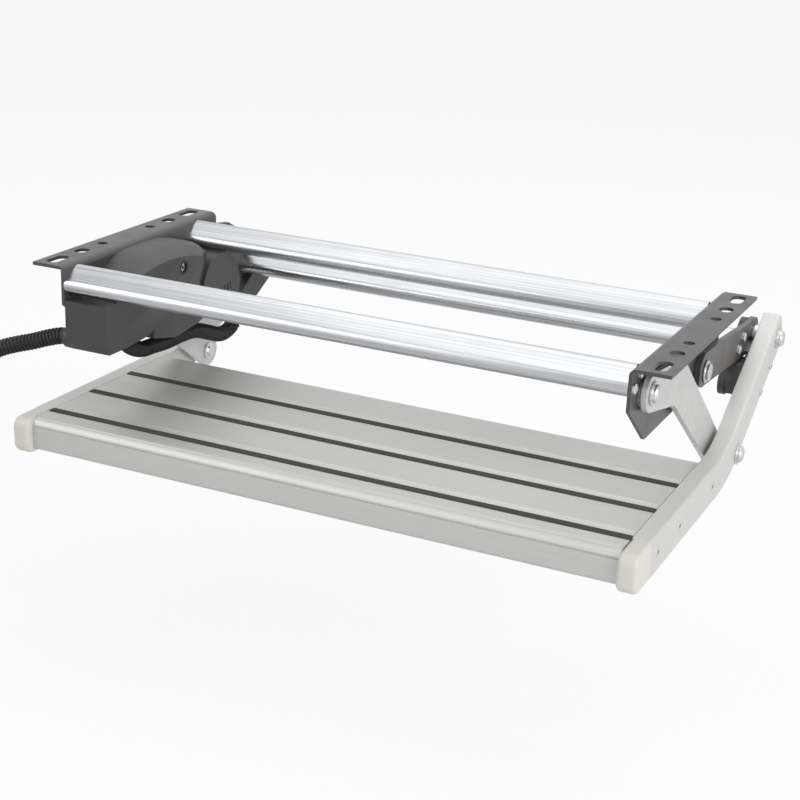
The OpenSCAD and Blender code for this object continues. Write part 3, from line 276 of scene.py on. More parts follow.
def anodised_bent_aluminium(colours):
    # The same finish on the arms, paler for a thicker haze. The die lines, 0.3 mm drawn as
    # 1.2 mm, follow the bend through the piece's own map.
    return surface("anodised_bent_aluminium", colours.arm, {"Metallic": 0.3}, 1.2,
                   (0.97, 1.02), (0.46, 0.54), relief_mm=0.006, cloud_mm=70, follow="UV")


def mill_finish_aluminium(colours):
    # Extruded and left bare: bright, with soft streaks along the tube, 2.5 mm apart as the die
    # leaves them, that darken it where it has tarnished.
    return surface("mill_finish_aluminium", colours.tube, {"Metallic": 1.0}, 2.5,
                   (0.7, 1.1), (0.24, 0.34), stretch=160, cloud_mm=40)


def zinc_plated_sheet(colours):
    # Cut from sheet, tumbled and zinc plated: a pale satin metal with crystal blotches of
    # about 12 mm.
    return surface("zinc_plated_sheet", colours.lever, {"Metallic": 0.55}, 12,
                   (0.94, 1.03), (0.4, 0.5), cloud_mm=20)


def bright_zinc_steel(colours):
    # Turned steel, bright zinc plated: clear highlights, with 0.2 mm turning marks that are
    # drawn 1.5 mm wide as a change of shade.
    return surface("bright_zinc_steel", colours.zinc, {"Metallic": 1.0}, 1.5,
                   (0.95, 1.02), (0.24, 0.32), cloud_mm=5)


def powder_coated_steel(colours):
    # Sprayed as powder and baked: satin black with an orange peel of 1.5 mm, which breaks up
    # the sky that it mirrors.
    return surface("powder_coated_steel", colours.bracket, {"Metallic": 0.0}, 1.5,
                   (0.93, 1.1), (0.32, 0.42), relief_mm=0.03, cloud_mm=30)


def moulded_grained_abs(colours):
    # Moulded in a spark eroded tool: a dull black whose 0.15 mm grain is drawn 1 mm wide so
    # that it shows.
    return surface("moulded_grained_abs", colours.housing, {"Metallic": 0.0}, 1.0,
                   (0.94, 1.07), (0.42, 0.52), relief_mm=0.03, cloud_mm=40)


def corrugated_polyamide(colours):
    # Blow moulded in a corrugating tool: near black, with a soft gloss on the crests and
    # scuffs of 4 mm.
    return surface("corrugated_polyamide", colours.conduit, {"Metallic": 0.0}, 4,
                   (0.8, 1.3), (0.46, 0.58), cloud_mm=12)


def extruded_epdm_rubber(colours):
    # Extruded rubber: dull, with a dusty bloom in streaks 2 mm wide along the strip.
    return surface("extruded_epdm_rubber", colours.strip, {"Metallic": 0.0}, 2,
                   (0.85, 1.15), (0.66, 0.76), stretch=12, relief_mm=0.02, cloud_mm=30)


def moulded_polyethylene(colours):
    # Moulded and waxy: off-white, with a little light passing 3 mm under the surface and a
    # soft sheen that varies over 15 mm.
    return surface("moulded_polyethylene", colours.cap, {
        "Metallic": 0.0, "Subsurface Weight": 0.25, "Subsurface Scale": 3 * MM,
        "Subsurface Radius": (1.0, 1.0, 0.85)}, 6, (0.98, 1.01), (0.36, 0.46), cloud_mm=15)


def shadowed_steel(colours):
    # The pressed sides of a screw's drive: dark, for little light reaches in.
    return surface("shadowed_steel", linear("#2c2c2c"), {"Metallic": 0.5}, 1.5,
                   (0.9, 1.06), (0.4, 0.5), cloud_mm=5)


def sintered_bronze(colours):
    # Pressed and sintered: brownish gold, dulled by pores that are drawn 1.5 mm wide.
    return surface("sintered_bronze", linear("#b18f52"), {"Metallic": 1.0}, 1.5,
                   (0.88, 1.05), (0.34, 0.46), cloud_mm=12)


def painted_motor_steel(colours):
    # Drawn steel under thin grey paint: a smooth half gloss.
    return surface("painted_motor_steel", linear("#7b7d80"), {"Metallic": 0.0}, 3,
                   (0.95, 1.04), (0.36, 0.44), cloud_mm=25)


def moulded_plug_polyamide(colours):
    # Moulded glass filled polyamide: dull black with flow marks about 4 mm wide.
    return surface("moulded_plug_polyamide", linear("#2b2b2d"), {"Metallic": 0.0}, 4,
                   (0.88, 1.1), (0.44, 0.54), cloud_mm=20)


# Materials by their maker
MADE = {}


def finish(maker):
    """The material that a maker gives, made when a piece first needs it."""
    if maker not in MADE:
        MADE[maker] = maker(bpy.context.scene.step_colours)
    return MADE[maker]


def give(node, maker):
    """Puts a material on a CAD node that stays."""
    mesh = NODES[node].data
    if not mesh.materials:
        mesh.materials.append(finish(maker))
    for i in range(len(mesh.materials)):
        mesh.materials[i] = finish(maker)


def make_piece(name, bm, body, maker, replaced=(), smooth=35):
    """Turns a bmesh into a piece that rides on a body."""
    mesh = bpy.data.meshes.new(name)
    bm.to_mesh(mesh)
    bm.free()
    mesh.polygons.foreach_set("use_smooth", [True] * len(mesh.polygons))
    mesh.set_sharp_from_angle(angle=math.radians(smooth))
    piece = bpy.data.objects.new(name, mesh)
    bpy.context.scene.collection.objects.link(piece)
    mesh.materials.append(finish(maker))
    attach(piece, body)
    if replaced:
        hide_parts(*replaced)
    return piece


def rounded_copy(node, body, maker, width, angle=24):
    """A CAD piece's shape with its edges rounded."""
    bm = bmesh.new()
    bm.from_mesh(NODES[node].data)
    bmesh.ops.remove_doubles(bm, verts=bm.verts, dist=MERGE)
    bmesh.ops.dissolve_limit(bm, angle_limit=FLAT_ANGLE, verts=bm.verts, edges=bm.edges)
    piece = make_piece(f"{node}_dressed", bm, body, maker, (node,))
    ease_edges(piece, width, angle)
    return piece


def ease_edges(piece, width, angle):
    """Rounds a piece's edges that are sharper than the angle."""
    rounding = piece.modifiers.new("Edge rounding", "BEVEL")
    rounding.width = width
    rounding.segments = bpy.context.scene.step_sizes.rounding_segments
    rounding.limit_method = "ANGLE"
    rounding.angle_limit = math.radians(angle)
    rounding.harden_normals = True
    rounding.use_clamp_overlap = True


def turned(bm, centre, outline, side, steps=48):
    """Spins (radius, reach outwards) pairs about the line along X through the centre."""
    verts = [bm.verts.new((centre.x + side * reach, centre.y + radius, centre.z))
             for radius, reach in outline]
    edges = [bm.edges.new(pair) for pair in zip(verts, verts[1:])]
    bmesh.ops.spin(bm, geom=verts + edges, cent=centre, axis=(1, 0, 0), angle=math.tau,
                   steps=steps, use_merge=True)


def turned_copy(node, body, width):
    """A CAD node's bolts, washers or rivets turned anew as smooth rounds with eased edges.

    Its points are grouped by their place along X, to 0.01 mm. A group that holds two radii is a
    shoulder, and its radii follow one another from the one nearest to the last."""
    shoulder = 0.3 * MM
    bm = bmesh.new()
    for low, high, points in solids(node):
        centre = Vector((0, (low.y + high.y) / 2, (low.z + high.z) / 2))
        steps = {}
        for point in points:
            radius = math.hypot(point.y - centre.y, point.z - centre.z)
            steps.setdefault(round(point.x, 5), []).append(radius)
        outline, last = [(0, min(steps))], 0
        for x in sorted(steps):
            radii = [max(steps[x])]
            inner = [r for r in steps[x] if r < radii[0] - shoulder]
            if inner and low.x < x < high.x:
                radii.append(max(inner))
            radii.sort(key=lambda r: abs(r - last))
            outline += [(r, x) for r in radii]
            last = radii[-1]
        turned(bm, centre, outline + [(0, max(steps))], 1)
    tidy_normals(bm)
    piece = make_piece(f"{node}_dressed", bm, body, bright_zinc_steel, (node,))
    ease_edges(piece, width, 30)
    return piece


def tidy_normals(bm):
    """Merges doubles and turns the faces outwards."""
    bmesh.ops.remove_doubles(bm, verts=bm.verts, dist=MERGE)
    bmesh.ops.recalc_face_normals(bm, faces=bm.faces)


def star(bm, centre, side, radius, depth, points=6):
    """A star drive's shape, a thin prism that shows as the recess of a screw's head.

    Each of its points has four corners, and its radius swells and shrinks with them."""
    wave = 0.14
    ring = []
    for i in range(points * 4):
        swell = 1 - wave + wave * math.cos(math.tau * i / 4)
        turn = math.tau * i / (points * 4)
        ring.append(bm.verts.new((centre.x, centre.y + radius * swell * math.cos(turn),
                                  centre.z + radius * swell * math.sin(turn))))
    push_face(bm, bm.faces.new(ring), (side * depth, 0, 0))


def mirrored(bm):
    """Mirrors a right hand piece to the left."""
    bmesh.ops.scale(bm, vec=(-1, 1, 1), verts=bm.verts)
    bmesh.ops.recalc_face_normals(bm, faces=bm.faces)


def push_face(bm, face, way):
    """Extrudes a face and gives back the moved one."""
    moved = bmesh.ops.extrude_face_region(bm, geom=[face])["geom"]
    bmesh.ops.translate(bm, verts=[v for v in moved if isinstance(v, bmesh.types.BMVert)], vec=way)
    bm.normal_update()
    return next(f for f in moved if isinstance(f, bmesh.types.BMFace))


def profile_along_x(bm, outline, low_x, high_x):
    """A closed outline of (y, z) pairs drawn out along X."""
    face = bm.faces.new([bm.verts.new((low_x, y, z)) for y, z in outline])
    push_face(bm, face, (high_x - low_x, 0, 0))
    tidy_normals(bm)


def arc(centre, radius, start, end, steps=8):
    """Points of an arc as (y, z) pairs, with its angles in degrees."""
    turns = [math.radians(start + (end - start) * i / steps) for i in range(steps + 1)]
    return [(centre[0] + radius * math.cos(t), centre[1] + radius * math.sin(t)) for t in turns]


def solids(node):
    """The low and high corner and the points of each solid of a CAD node, in its mesh's order."""
    bm = bmesh.new()
    bm.from_mesh(NODES[node].data)
    bmesh.ops.remove_doubles(bm, verts=bm.verts, dist=MERGE)
    left, found = set(bm.verts), []
    for first in bm.verts:
        if first not in left:
            continue
        left.remove(first)
        front, island = [first], []
        while front:
            vert = front.pop()
            island.append(vert.co.copy())
            for edge in vert.link_edges:
                other = edge.other_vert(vert)
                if other in left:
                    left.remove(other)
                    front.append(other)
        limits = (Vector(map(pick, zip(*island))) for pick in (min, max))
        found.append((*limits, island))
    bm.free()
    return found


def screw_heads(node, body, radius, height, foot):
    """Round heads with a star drive that stand on the outer ends of a node's screws.

    The foot is how far below the screw's end a head starts. A head is sunk a little below its
    foot, and its crown ends in a flat face that the drive stands in."""
    heads, drives = bmesh.new(), bmesh.new()
    sunk, drive_depth, drive_low = 0.4 * MM, 0.36 * MM, 0.3 * MM
    for low, high, _ in solids(node):
        side = 1 if low.x + high.x > 0 else -1
        tip = high.x if side > 0 else low.x
        centre = Vector((tip - side * foot, (low.y + high.y) / 2, (low.z + high.z) / 2))
        crown = [(radius * math.cos(t), height * math.sin(t)) for t in CROWN_TURNS]
        turned(heads, centre, [(0, -sunk), (radius, -sunk), *crown, (0, crown[-1][1])], side, 32)
        face = centre + Vector((side * (crown[-1][1] - drive_low), 0, 0))
        star(drives, face, side, radius * DRIVE_SHARE, drive_depth)
    tidy_normals(heads)
    tidy_normals(drives)
    make_piece(f"{node}_dressed", heads, body, bright_zinc_steel, smooth=50)
    make_piece(f"{node}_drives", drives, body, shadowed_steel)


class STEP_OT_stage(bpy.types.Operator):
    """Makes the camera, the floor, the sky and the lamps"""
    bl_idname = "caravan_step.stage"
    bl_label = "Stage"

    def execute(self, context):
        scene = context.scene
        scene.view_settings.view_transform = "Standard"
        self.add_camera(scene)
        self.add_floor(scene)
        self.add_sky(scene)
        for lamp in LAMPS:
            self.add_lamp(scene, *lamp)
        return {"FINISHED"}

    def add_camera(self, scene):
        camera = bpy.data.cameras.new("photo_camera")
        camera.lens = CAMERA_LENS_MM
        camera.sensor_width = SENSOR_MM
        viewer = bpy.data.objects.new("photo_camera", camera)
        scene.collection.objects.link(viewer)
        scene.camera = viewer
        a, e, r = CAMERA_AZIMUTH, CAMERA_ELEVATION, CAMERA_ROLL
        back = Vector((math.sin(a) * math.cos(e), -math.cos(a) * math.cos(e), math.sin(e)))
        right = Vector((math.cos(a), math.sin(a), 0))
        up = back.cross(right)
        across = right * math.cos(r) + up * math.sin(r)
        upward = up * math.cos(r) - right * math.sin(r)
        turn = Matrix((across, upward, back)).transposed().to_4x4()
        viewer.matrix_world = Matrix.Translation(CAMERA_AT) @ turn

    def add_floor(self, scene):
        bm = bmesh.new()
        bmesh.ops.create_grid(bm, x_segments=1, y_segments=1, size=FLOOR_HALF_SIDE,
                              matrix=Matrix.Translation((0, 0, FLOOR_Z)))
        mesh = bpy.data.meshes.new("studio_floor")
        bm.to_mesh(mesh)
        bm.free()
        floor = bpy.data.objects.new("studio_floor", mesh)
        scene.collection.objects.link(floor)
        # Matt paper, mostly seen as even white, with enough of its own shade to keep the shadow.
        material = bpy.data.materials.new("white_studio_paper")
        material.use_nodes = True
        tree = material.node_tree
        tree.nodes.clear()
        light_path = add_node(tree, "ShaderNodeLightPath")
        paper = add_node(tree, "ShaderNodeBsdfDiffuse", {"Color": (*[PAPER_WHITE] * 3, 1)})
        glow = add_node(tree, "ShaderNodeEmission", {"Color": (1, 1, 1, 1), "Strength": 1.0})
        share = add_node(tree, "ShaderNodeMath", {
            0: light_path.outputs["Is Camera Ray"], 1: GLOW_SHARE}, operation="MULTIPLY")
        mixed = add_node(tree, "ShaderNodeMixShader", {
            0: share.outputs[0], 1: paper.outputs[0], 2: glow.outputs[0]})
        add_node(tree, "ShaderNodeOutputMaterial", {0: mixed.outputs[0]})
        mesh.materials.append(material)

    def add_sky(self, scene):
        world = bpy.data.worlds.new("studio_sky")
        scene.world = world
        world.use_nodes = True
        tree = world.node_tree
        tree.nodes.clear()
        light_path = add_node(tree, "ShaderNodeLightPath")
        seen = add_node(tree, "ShaderNodeMath", {
            0: light_path.outputs["Is Camera Ray"], 1: light_path.outputs["Is Glossy Ray"]},
            operation="MAXIMUM")
        seen = add_node(tree, "ShaderNodeMath", {
            0: seen.outputs[0], 1: light_path.outputs["Is Transmission Ray"]}, operation="MAXIMUM")
        dim = add_node(tree, "ShaderNodeBackground", {
            "Color": (1, 1, 1, 1), "Strength": SKY_LIGHT})
        white = add_node(tree, "ShaderNodeBackground", {"Color": (1, 1, 1, 1), "Strength": 1.0})
        mixed = add_node(tree, "ShaderNodeMixShader", {
            0: seen.outputs[0], 1: dim.outputs[0], 2: white.outputs[0]})
        add_node(tree, "ShaderNodeOutputWorld", {0: mixed.outputs[0]})

    def add_lamp(self, scene, name, place, aim, size, power):
        lamp = bpy.data.lights.new(name, "AREA")
        lamp.shape = "DISK"
        lamp.size = size
        lamp.energy = power
        holder = bpy.data.objects.new(name, lamp)
        scene.collection.objects.link(holder)
        holder.location = place
        aim_line = Vector(place) - Vector(aim)
        holder.rotation_euler = aim_line.to_track_quat("Z", "Y").to_euler()


def smooth_line(points, steps=10):
    """Points on a smooth curve through the given ones."""
    points = [Vector(p) for p in points]
    last = len(points) - 1
    line = []
    for i in range(last):
        a, b = points[max(i - 1, 0)], points[i]
        c, d = points[i + 1], points[min(i + 2, last)]
        for j in range(steps):
            t = j / steps
            line.append(0.5 * (2 * b + (c - a) * t + (2 * a - 5 * b + 4 * c - d) * t * t
                               + (3 * b - 3 * c + d - a) * t * t * t))
    return line + [points[last]]


def line_length(points):
    """The length of a line through points."""
    return sum((b - a).length for a, b in zip(points, points[1:]))


def spaced(points, step):
    """The same line with points at even steps."""
    count = max(2, round(line_length(points) / step))
    step = line_length(points) / count
    out, walked, goal = [points[0].copy()], 0.0, step
    for a, b in zip(points, points[1:]):
        span = (b - a).length
        while goal <= walked + span + 1e-12 and len(out) < count:
            out.append(a.lerp(b, (goal - walked) / span))
            goal += step
        walked += span
    out.append(points[-1].copy())
    return out


def coil_heading(angle):
    """Which way the coil runs at an angle, in radians."""
    end = 360 * COIL_TURNS
    if angle > end:
        return coil_heading(end) + math.radians(angle - end)
    before, after = spiral_point(angle - 0.5), spiral_point(angle + 0.5)
    return math.atan2(after.y - before.y, after.x - before.x)


def spiral_point(angle):
    """A point of the coil's turns, which lie at the height of the folded step's underside."""
    radius = COIL_RADIUS - COIL_STEP * angle / 360
    turn = math.radians(COIL_START + angle)
    return Vector((COIL_AT[0] + radius * math.cos(turn), COIL_AT[1] + radius * math.sin(turn),
                   UNDERSIDE_Z / MM + CONDUIT_RADIUS / MM))


def coil_point(angle):
    """A point of the turns or of the tail, in millimetres."""
    end = 360 * COIL_TURNS
    if angle <= end:
        return spiral_point(angle)
    start = coil_heading(end)
    centre = spiral_point(end) + TAIL_RADIUS * Vector((-math.sin(start), math.cos(start), 0))
    turn = coil_heading(angle)
    return centre + TAIL_RADIUS * Vector((math.sin(turn), -math.cos(turn), 0))


def corrugated_curve(name, line, sizes, radius):
    """A curve whose thickness rises and falls as a corrugated conduit's does.

    Each corrugation has four points, two on its crest and two in its groove."""
    points = spaced(line, sizes.rib_pitch / 4)
    curve = bpy.data.curves.new(name, "CURVE")
    curve.dimensions = "3D"
    curve.bevel_depth = radius
    curve.bevel_resolution = 4
    curve.use_fill_caps = True
    curve.twist_mode = "MINIMUM"
    spline = curve.splines.new("POLY")
    spline.points.add(len(points) - 1)
    groove = 1 - sizes.rib_depth / radius
    thickness = (1.0, 1.0, groove, groove)
    plain = 4
    for i, (point, place) in enumerate(zip(spline.points, points)):
        point.co = (*place, 1)
        at_end = i < plain or i >= len(points) - plain
        point.radius = 1.0 if at_end else thickness[i % 4]
    spline.use_smooth = False
    piece = bpy.data.objects.new(name, curve)
    bpy.context.scene.collection.objects.link(piece)
    curve.materials.append(finish(corrugated_polyamide))
    return piece


class STEP_OT_supply_conduit(bpy.types.Operator):
    """Makes the conduit that leads to the vehicle's wiring, with its stored coil"""
    bl_idname = "caravan_step.supply_conduit"
    bl_label = "Supply conduit"

    def execute(self, context):
        sizes = context.scene.step_sizes
        entry = coil_point(0)
        heading = coil_heading(0)
        lead_in = entry - COIL_LEAD_IN * Vector((math.cos(heading), math.sin(heading), 0))
        route = smooth_line(SUPPLY_ROUTE + [lead_in, entry])
        last = 360 * COIL_TURNS + TAIL_TURN
        coil = [coil_point(last * i / COIL_POINTS) for i in range(1, COIL_POINTS + 1)]
        line = [point * MM for point in route + coil]
        conduit = corrugated_curve("supply_conduit_dressed", line, sizes, CONDUIT_RADIUS)
        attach(conduit, "frame")
        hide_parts("supply_conduit", "conduit_coil")
        give("conduit_plug", moulded_plug_polyamide)
        return {"FINISHED"}


class STEP_OT_rear_conduit(bpy.types.Operator):
    """Makes the conduit that hangs between the gear case and the motor, held at both ends"""
    bl_idname = "caravan_step.rear_conduit"
    bl_label = "Rear conduit"

    def execute(self, context):
        sizes = context.scene.step_sizes
        low, high = corners("rear_conduit")
        middle = (low.x + high.x) / 2 / MM
        case = Vector((middle, REAR_PIVOT.y / MM, REAR_PIVOT.z / MM))
        start = case + GEAR_CASE_RADIUS * GEAR_CASE_OUT
        end = Vector((middle, *MOTOR_ENTRY))
        route = [start, start + COLLAR_RUN * GEAR_CASE_WAY]
        route += [(middle, y, z) for y, z in REAR_ROUTE]
        route += [end - COLLAR_RUN * MOTOR_WAY, end]
        line = [point * MM for point in smooth_line(route)]
        conduit = corrugated_curve("rear_conduit_dressed", line, sizes, CONDUIT_RADIUS)
        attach(conduit, "frame")
        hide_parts("rear_conduit")
        return {"FINISHED"}


class STEP_OT_tread(bpy.types.Operator):
    """Makes the ribbed tread and its grip strips"""
    bl_idname = "caravan_step.tread"
    bl_label = "Tread"

    def execute(self, context):
        strips = ("front_grip_strip", "middle_grip_strip", "rear_grip_strip")
        self.add_panel([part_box(name) for name in strips])
        for name in strips:
            self.add_strip(name)
        return {"FINISHED"}

    def add_panel(self, strip_boxes):
        """The panel's section: a nose with two grooves, then ribbed lands with the strips'
        channels between them. The land slopes down to each channel from both sides."""
        low, high = TREAD_LOW, TREAD_HIGH
        nose, heel, groove, rear_edge = 10 * MM, 4 * MM, 1 * MM, 2 * MM
        channel, gap, rear_gap = 2.4 * MM, 0.9 * MM, 0.3 * MM
        before, after, fall, sag = 3.5 * MM, 10 * MM, 0.5 * MM, 0.1 * MM
        corner = (low.y + nose, high.z - nose)
        outline = arc((low.y + heel, low.z + heel), heel, 270, 180, 5)
        outline += arc(corner, nose, 180, 170, 3) + arc(corner, nose - groove, 167, 163, 1)
        outline += arc(corner, nose, 160, 124, 8) + arc(corner, nose - groove, 120, 114, 1)
        outline += arc(corner, nose, 108, 90, 4)
        place, ribs = low.y + nose + 0.4 * MM, NOSE_RIBS
        for box in strip_boxes:
            front, back = box[0][1], box[1][1]
            outline += self.ribs(place, front - before, high.z, *ribs)
            outline += [(front - gap, high.z - fall), (front - gap, high.z - channel),
                        (back + rear_gap, high.z - channel), (back + rear_gap, high.z - fall),
                        (back + after, high.z - sag)]
            place, ribs = back + after + 0.2 * MM, LAND_RIBS
        outline += self.ribs(place, high.y - 3 * MM, high.z, *ribs)
        outline += [(high.y - rear_edge, high.z), (high.y, high.z - rear_edge), (high.y, low.z)]
        bm = bmesh.new()
        profile_along_x(bm, outline, low.x, high.x)
        make_piece("tread_panel_dressed", bm, "step", anodised_extruded_aluminium,
                   ("tread_panel",), smooth=28)

    def ribs(self, start, end, top, pitch, depth):
        """Shallow grooves at about the pitch, from start to end."""
        count = max(1, round((end - start) / pitch))
        step = (end - start) / count
        waves = []
        for i in range(count):
            waves += [(start + step * i, top), (start + step * (i + 0.5), top - depth)]
        return waves + [(end, top)]

    def add_strip(self, name):
        """A strip with ribs along its top and a slope at both edges."""
        low, high = corners(name)
        slope, groove = 0.8 * MM, 0.5 * MM
        crown = [(0.0, -slope), (slope, 0.0)]
        run = high.y - low.y - 2 * slope
        for i in range(STRIP_RIBS):
            start = slope + run * i / STRIP_RIBS
            crown += [(start + run * STRIP_RIB_TOP / STRIP_RIBS, 0.0),
                      (start + run * STRIP_GROOVE_START / STRIP_RIBS, -groove),
                      (start + run * STRIP_GROOVE_END / STRIP_RIBS, -groove),
                      (start + run / STRIP_RIBS, 0.0)]
        crown += [(high.y - low.y, -slope)]
        outline = [(low.y, low.z)]
        outline += [(low.y + y, high.z + z) for y, z in crown] + [(high.y, low.z)]
        bm = bmesh.new()
        profile_along_x(bm, outline, low.x, high.x)
        make_piece(f"{name}_dressed", bm, "step", extruded_epdm_rubber, (name,))


def along_arm(point):
    """How far a point lies above an arm's middle line, which runs level, bends and rises."""
    start_y = BEND_Y - BEND_REACH
    if point.y <= start_y:
        return point.z - ARM_MID_Z
    centre = Vector((0, start_y, ARM_MID_Z + BEND_RADIUS))
    flat = Vector((0, point.y, point.z)) - centre
    turn = math.atan2(flat.y, -flat.z)
    if turn <= BEND_RISE:
        return BEND_RADIUS - flat.length
    corner = Vector((0, BEND_Y, ARM_MID_Z))
    up = Vector((0, -math.sin(BEND_RISE), math.cos(BEND_RISE)))
    return (Vector((0, point.y, point.z)) - corner).dot(up)


class STEP_OT_arms(bpy.types.Operator):
    """Makes the two bent arms as rounded sections swept along their middle line"""
    bl_idname = "caravan_step.arms"
    bl_label = "Arms"

    def execute(self, context):
        for side, name in SIDES:
            self.add_arm(side, name, context.scene.step_sizes)
        return {"FINISHED"}

    def add_arm(self, side, name, sizes):
        """A section with three round corners and a tighter one at the tread's edge, drawn out
        to the bend, spun round it and drawn out to the arm's top."""
        tread_side_round = 1.2 * MM
        bm = bmesh.new()
        inner, outer = ARM_LOW.x, ARM_HIGH.x
        low, high = ARM_MID_Z - ARM_HEIGHT / 2, ARM_MID_Z + ARM_HEIGHT / 2
        section = [bm.verts.new((x, ARM_LOW.y, z)) for x, z in
                   ((inner, low), (outer, low), (outer, high), (inner, high))]
        bm.faces.new(section)
        bmesh.ops.bevel(bm, geom=section[:3], offset=sizes.arm_round, segments=6,
                        profile=0.5, affect="VERTICES", material=-1)
        edge = [v for v in bm.verts if (v.co - Vector((inner, ARM_LOW.y, high))).length < 1e-6]
        bmesh.ops.bevel(bm, geom=edge, offset=tread_side_round, segments=4,
                        profile=0.5, affect="VERTICES", material=-1)
        start_y = BEND_Y - BEND_REACH
        end = push_face(bm, bm.faces[:][0], Vector((0, start_y - ARM_LOW.y, 0)))
        bent = bmesh.ops.spin(bm, geom=[end], cent=(0, start_y, ARM_MID_Z + BEND_RADIUS),
                              axis=(1, 0, 0), angle=BEND_RISE, steps=20)
        tip = next(f for f in bent["geom_last"] if isinstance(f, bmesh.types.BMFace))
        if end.is_valid:
            bmesh.ops.delete(bm, geom=[end], context="FACES_ONLY")
        slope = Vector((0, math.cos(BEND_RISE), math.sin(BEND_RISE)))
        across = Vector((0, -math.sin(BEND_RISE), math.cos(BEND_RISE)))
        top = Vector((0, BEND_Y, ARM_MID_Z)) + slope * BEND_REACH + across * ARM_HEIGHT / 2
        push_face(bm, tip, slope * (ARM_HIGH.z - top.z) / slope.z)
        tidy_normals(bm)
        if side < 0:
            mirrored(bm)
        layer = bm.loops.layers.uv.new("drawn_lines")
        for face in bm.faces:
            for loop in face.loops:
                loop[layer].uv = (loop.vert.co.x, along_arm(loop.vert.co))
        make_piece(f"{name}_arm_dressed", bm, "step", anodised_bent_aluminium,
                   (f"{name}_arm",))


class STEP_OT_end_caps(bpy.types.Operator):
    """Makes the rounded end caps of the arms"""
    bl_idname = "caravan_step.end_caps"
    bl_label = "End caps"

    def execute(self, context):
        low, high, back = CAP_LOW, CAP_HIGH, ARM_LOW.y
        front_round, side_round = 10 * MM, 4 * MM
        for side, name in SIDES:
            bm = bmesh.new()
            bmesh.ops.create_cube(bm, size=1)
            size = Vector((high.x - low.x, back - low.y, high.z - low.z))
            bmesh.ops.scale(bm, vec=size, verts=bm.verts)
            bmesh.ops.translate(bm, vec=low + size / 2, verts=bm.verts)
            front = [e for e in bm.edges
                     if all(v.co.y < low.y + 1 * MM for v in e.verts)
                     and abs(e.verts[0].co.z - e.verts[1].co.z) < 1 * MM]
            bmesh.ops.bevel(bm, geom=front, offset=front_round, segments=10, profile=0.5,
                            affect="EDGES", material=-1)
            sides = [e for e in bm.edges
                     if abs(e.verts[0].co.x - e.verts[1].co.x) < 0.1 * MM
                     and min(v.co.y for v in e.verts) < back - 0.1 * MM]
            bmesh.ops.bevel(bm, geom=sides, offset=side_round, segments=6, profile=0.5,
                            affect="EDGES", material=-1)
            tidy_normals(bm)
            if side < 0:
                mirrored(bm)
            make_piece(f"{name}_end_cap_dressed", bm, "step", moulded_polyethylene,
                       (f"{name}_end_cap",), smooth=60)
        return {"FINISHED"}


class STEP_OT_sheet_metal(bpy.types.Operator):
    """Rounds the edges of brackets, levers and forks"""
    bl_idname = "caravan_step.sheet_metal"
    bl_label = "Sheet metal"

    def execute(self, context):
        sizes = context.scene.step_sizes
        for _, name in SIDES:
            rounded_copy(f"{name}_bracket", "frame", powder_coated_steel,
                         sizes.edge_round)
            rounded_copy(f"{name}_rear_lever", "rear_levers", powder_coated_steel,
                         sizes.edge_round)
            rounded_copy(f"{name}_front_lever", "front_levers", zinc_plated_sheet,
                         sizes.edge_round)
            rounded_copy(f"{name}_pivot_fork", "step", moulded_grained_abs,
                         0.8 * MM)
        return {"FINISHED"}


class STEP_OT_tubes(bpy.types.Operator):
    """Makes the three cross tubes in bare aluminium"""
    bl_idname = "caravan_step.tubes"
    bl_label = "Cross tubes"

    def execute(self, context):
        for node, body in (("front_tube", "frame"), ("rear_tube", "frame"),
                           ("link_tube", "rear_levers")):
            self.add_tube(node, body)
        return {"FINISHED"}

    def add_tube(self, node, body):
        """A flat section whose round ends leave a hair's width between their corners."""
        low, high = corners(node)
        centre = (low + high) / 2
        half_width = TUBE_PITCH / 2 + TUBE_RADIUS
        bm = bmesh.new()
        section = [bm.verts.new((low.x, y * half_width, z * TUBE_RADIUS)) for y, z in
                   ((-1, -1), (1, -1), (1, 1), (-1, 1))]
        bm.faces.new(section)
        bmesh.ops.bevel(bm, geom=section, offset=TUBE_RADIUS * 0.995, segments=18, profile=0.5,
                        affect="VERTICES", material=-1)
        bmesh.ops.rotate(bm, verts=bm.verts, cent=(0, 0, 0),
                         matrix=Matrix.Rotation(TUBE_TILT, 3, "X"))
        bmesh.ops.translate(bm, verts=bm.verts, vec=(0, centre.y, centre.z))
        push_face(bm, bm.faces[:][0], (high.x - low.x, 0, 0))
        tidy_normals(bm)
        make_piece(f"{node}_dressed", bm, body, mill_finish_aluminium, (node,))


class STEP_OT_pivots(bpy.types.Operator):
    """Makes the pivots' bolts and washers"""
    bl_idname = "caravan_step.pivots"
    bl_label = "Pivots"

    def execute(self, context):
        for node in ("upper_pivot_spacers", "lower_pivot_spacers", "shaft_bolt"):
            give(node, bright_zinc_steel)
        for node, body in (("upper_step_bolts", "step"), ("lower_step_bolts", "step"),
                           ("front_pivot_bolts", "frame"), ("front_pivot_washers", "frame"),
                           ("rear_pivot_bolt", "frame"), ("rear_pivot_washer", "frame"),
                           ("lever_rivets", "front_levers")):
            turned_copy(node, body, 0.35 * MM)
        return {"FINISHED"}


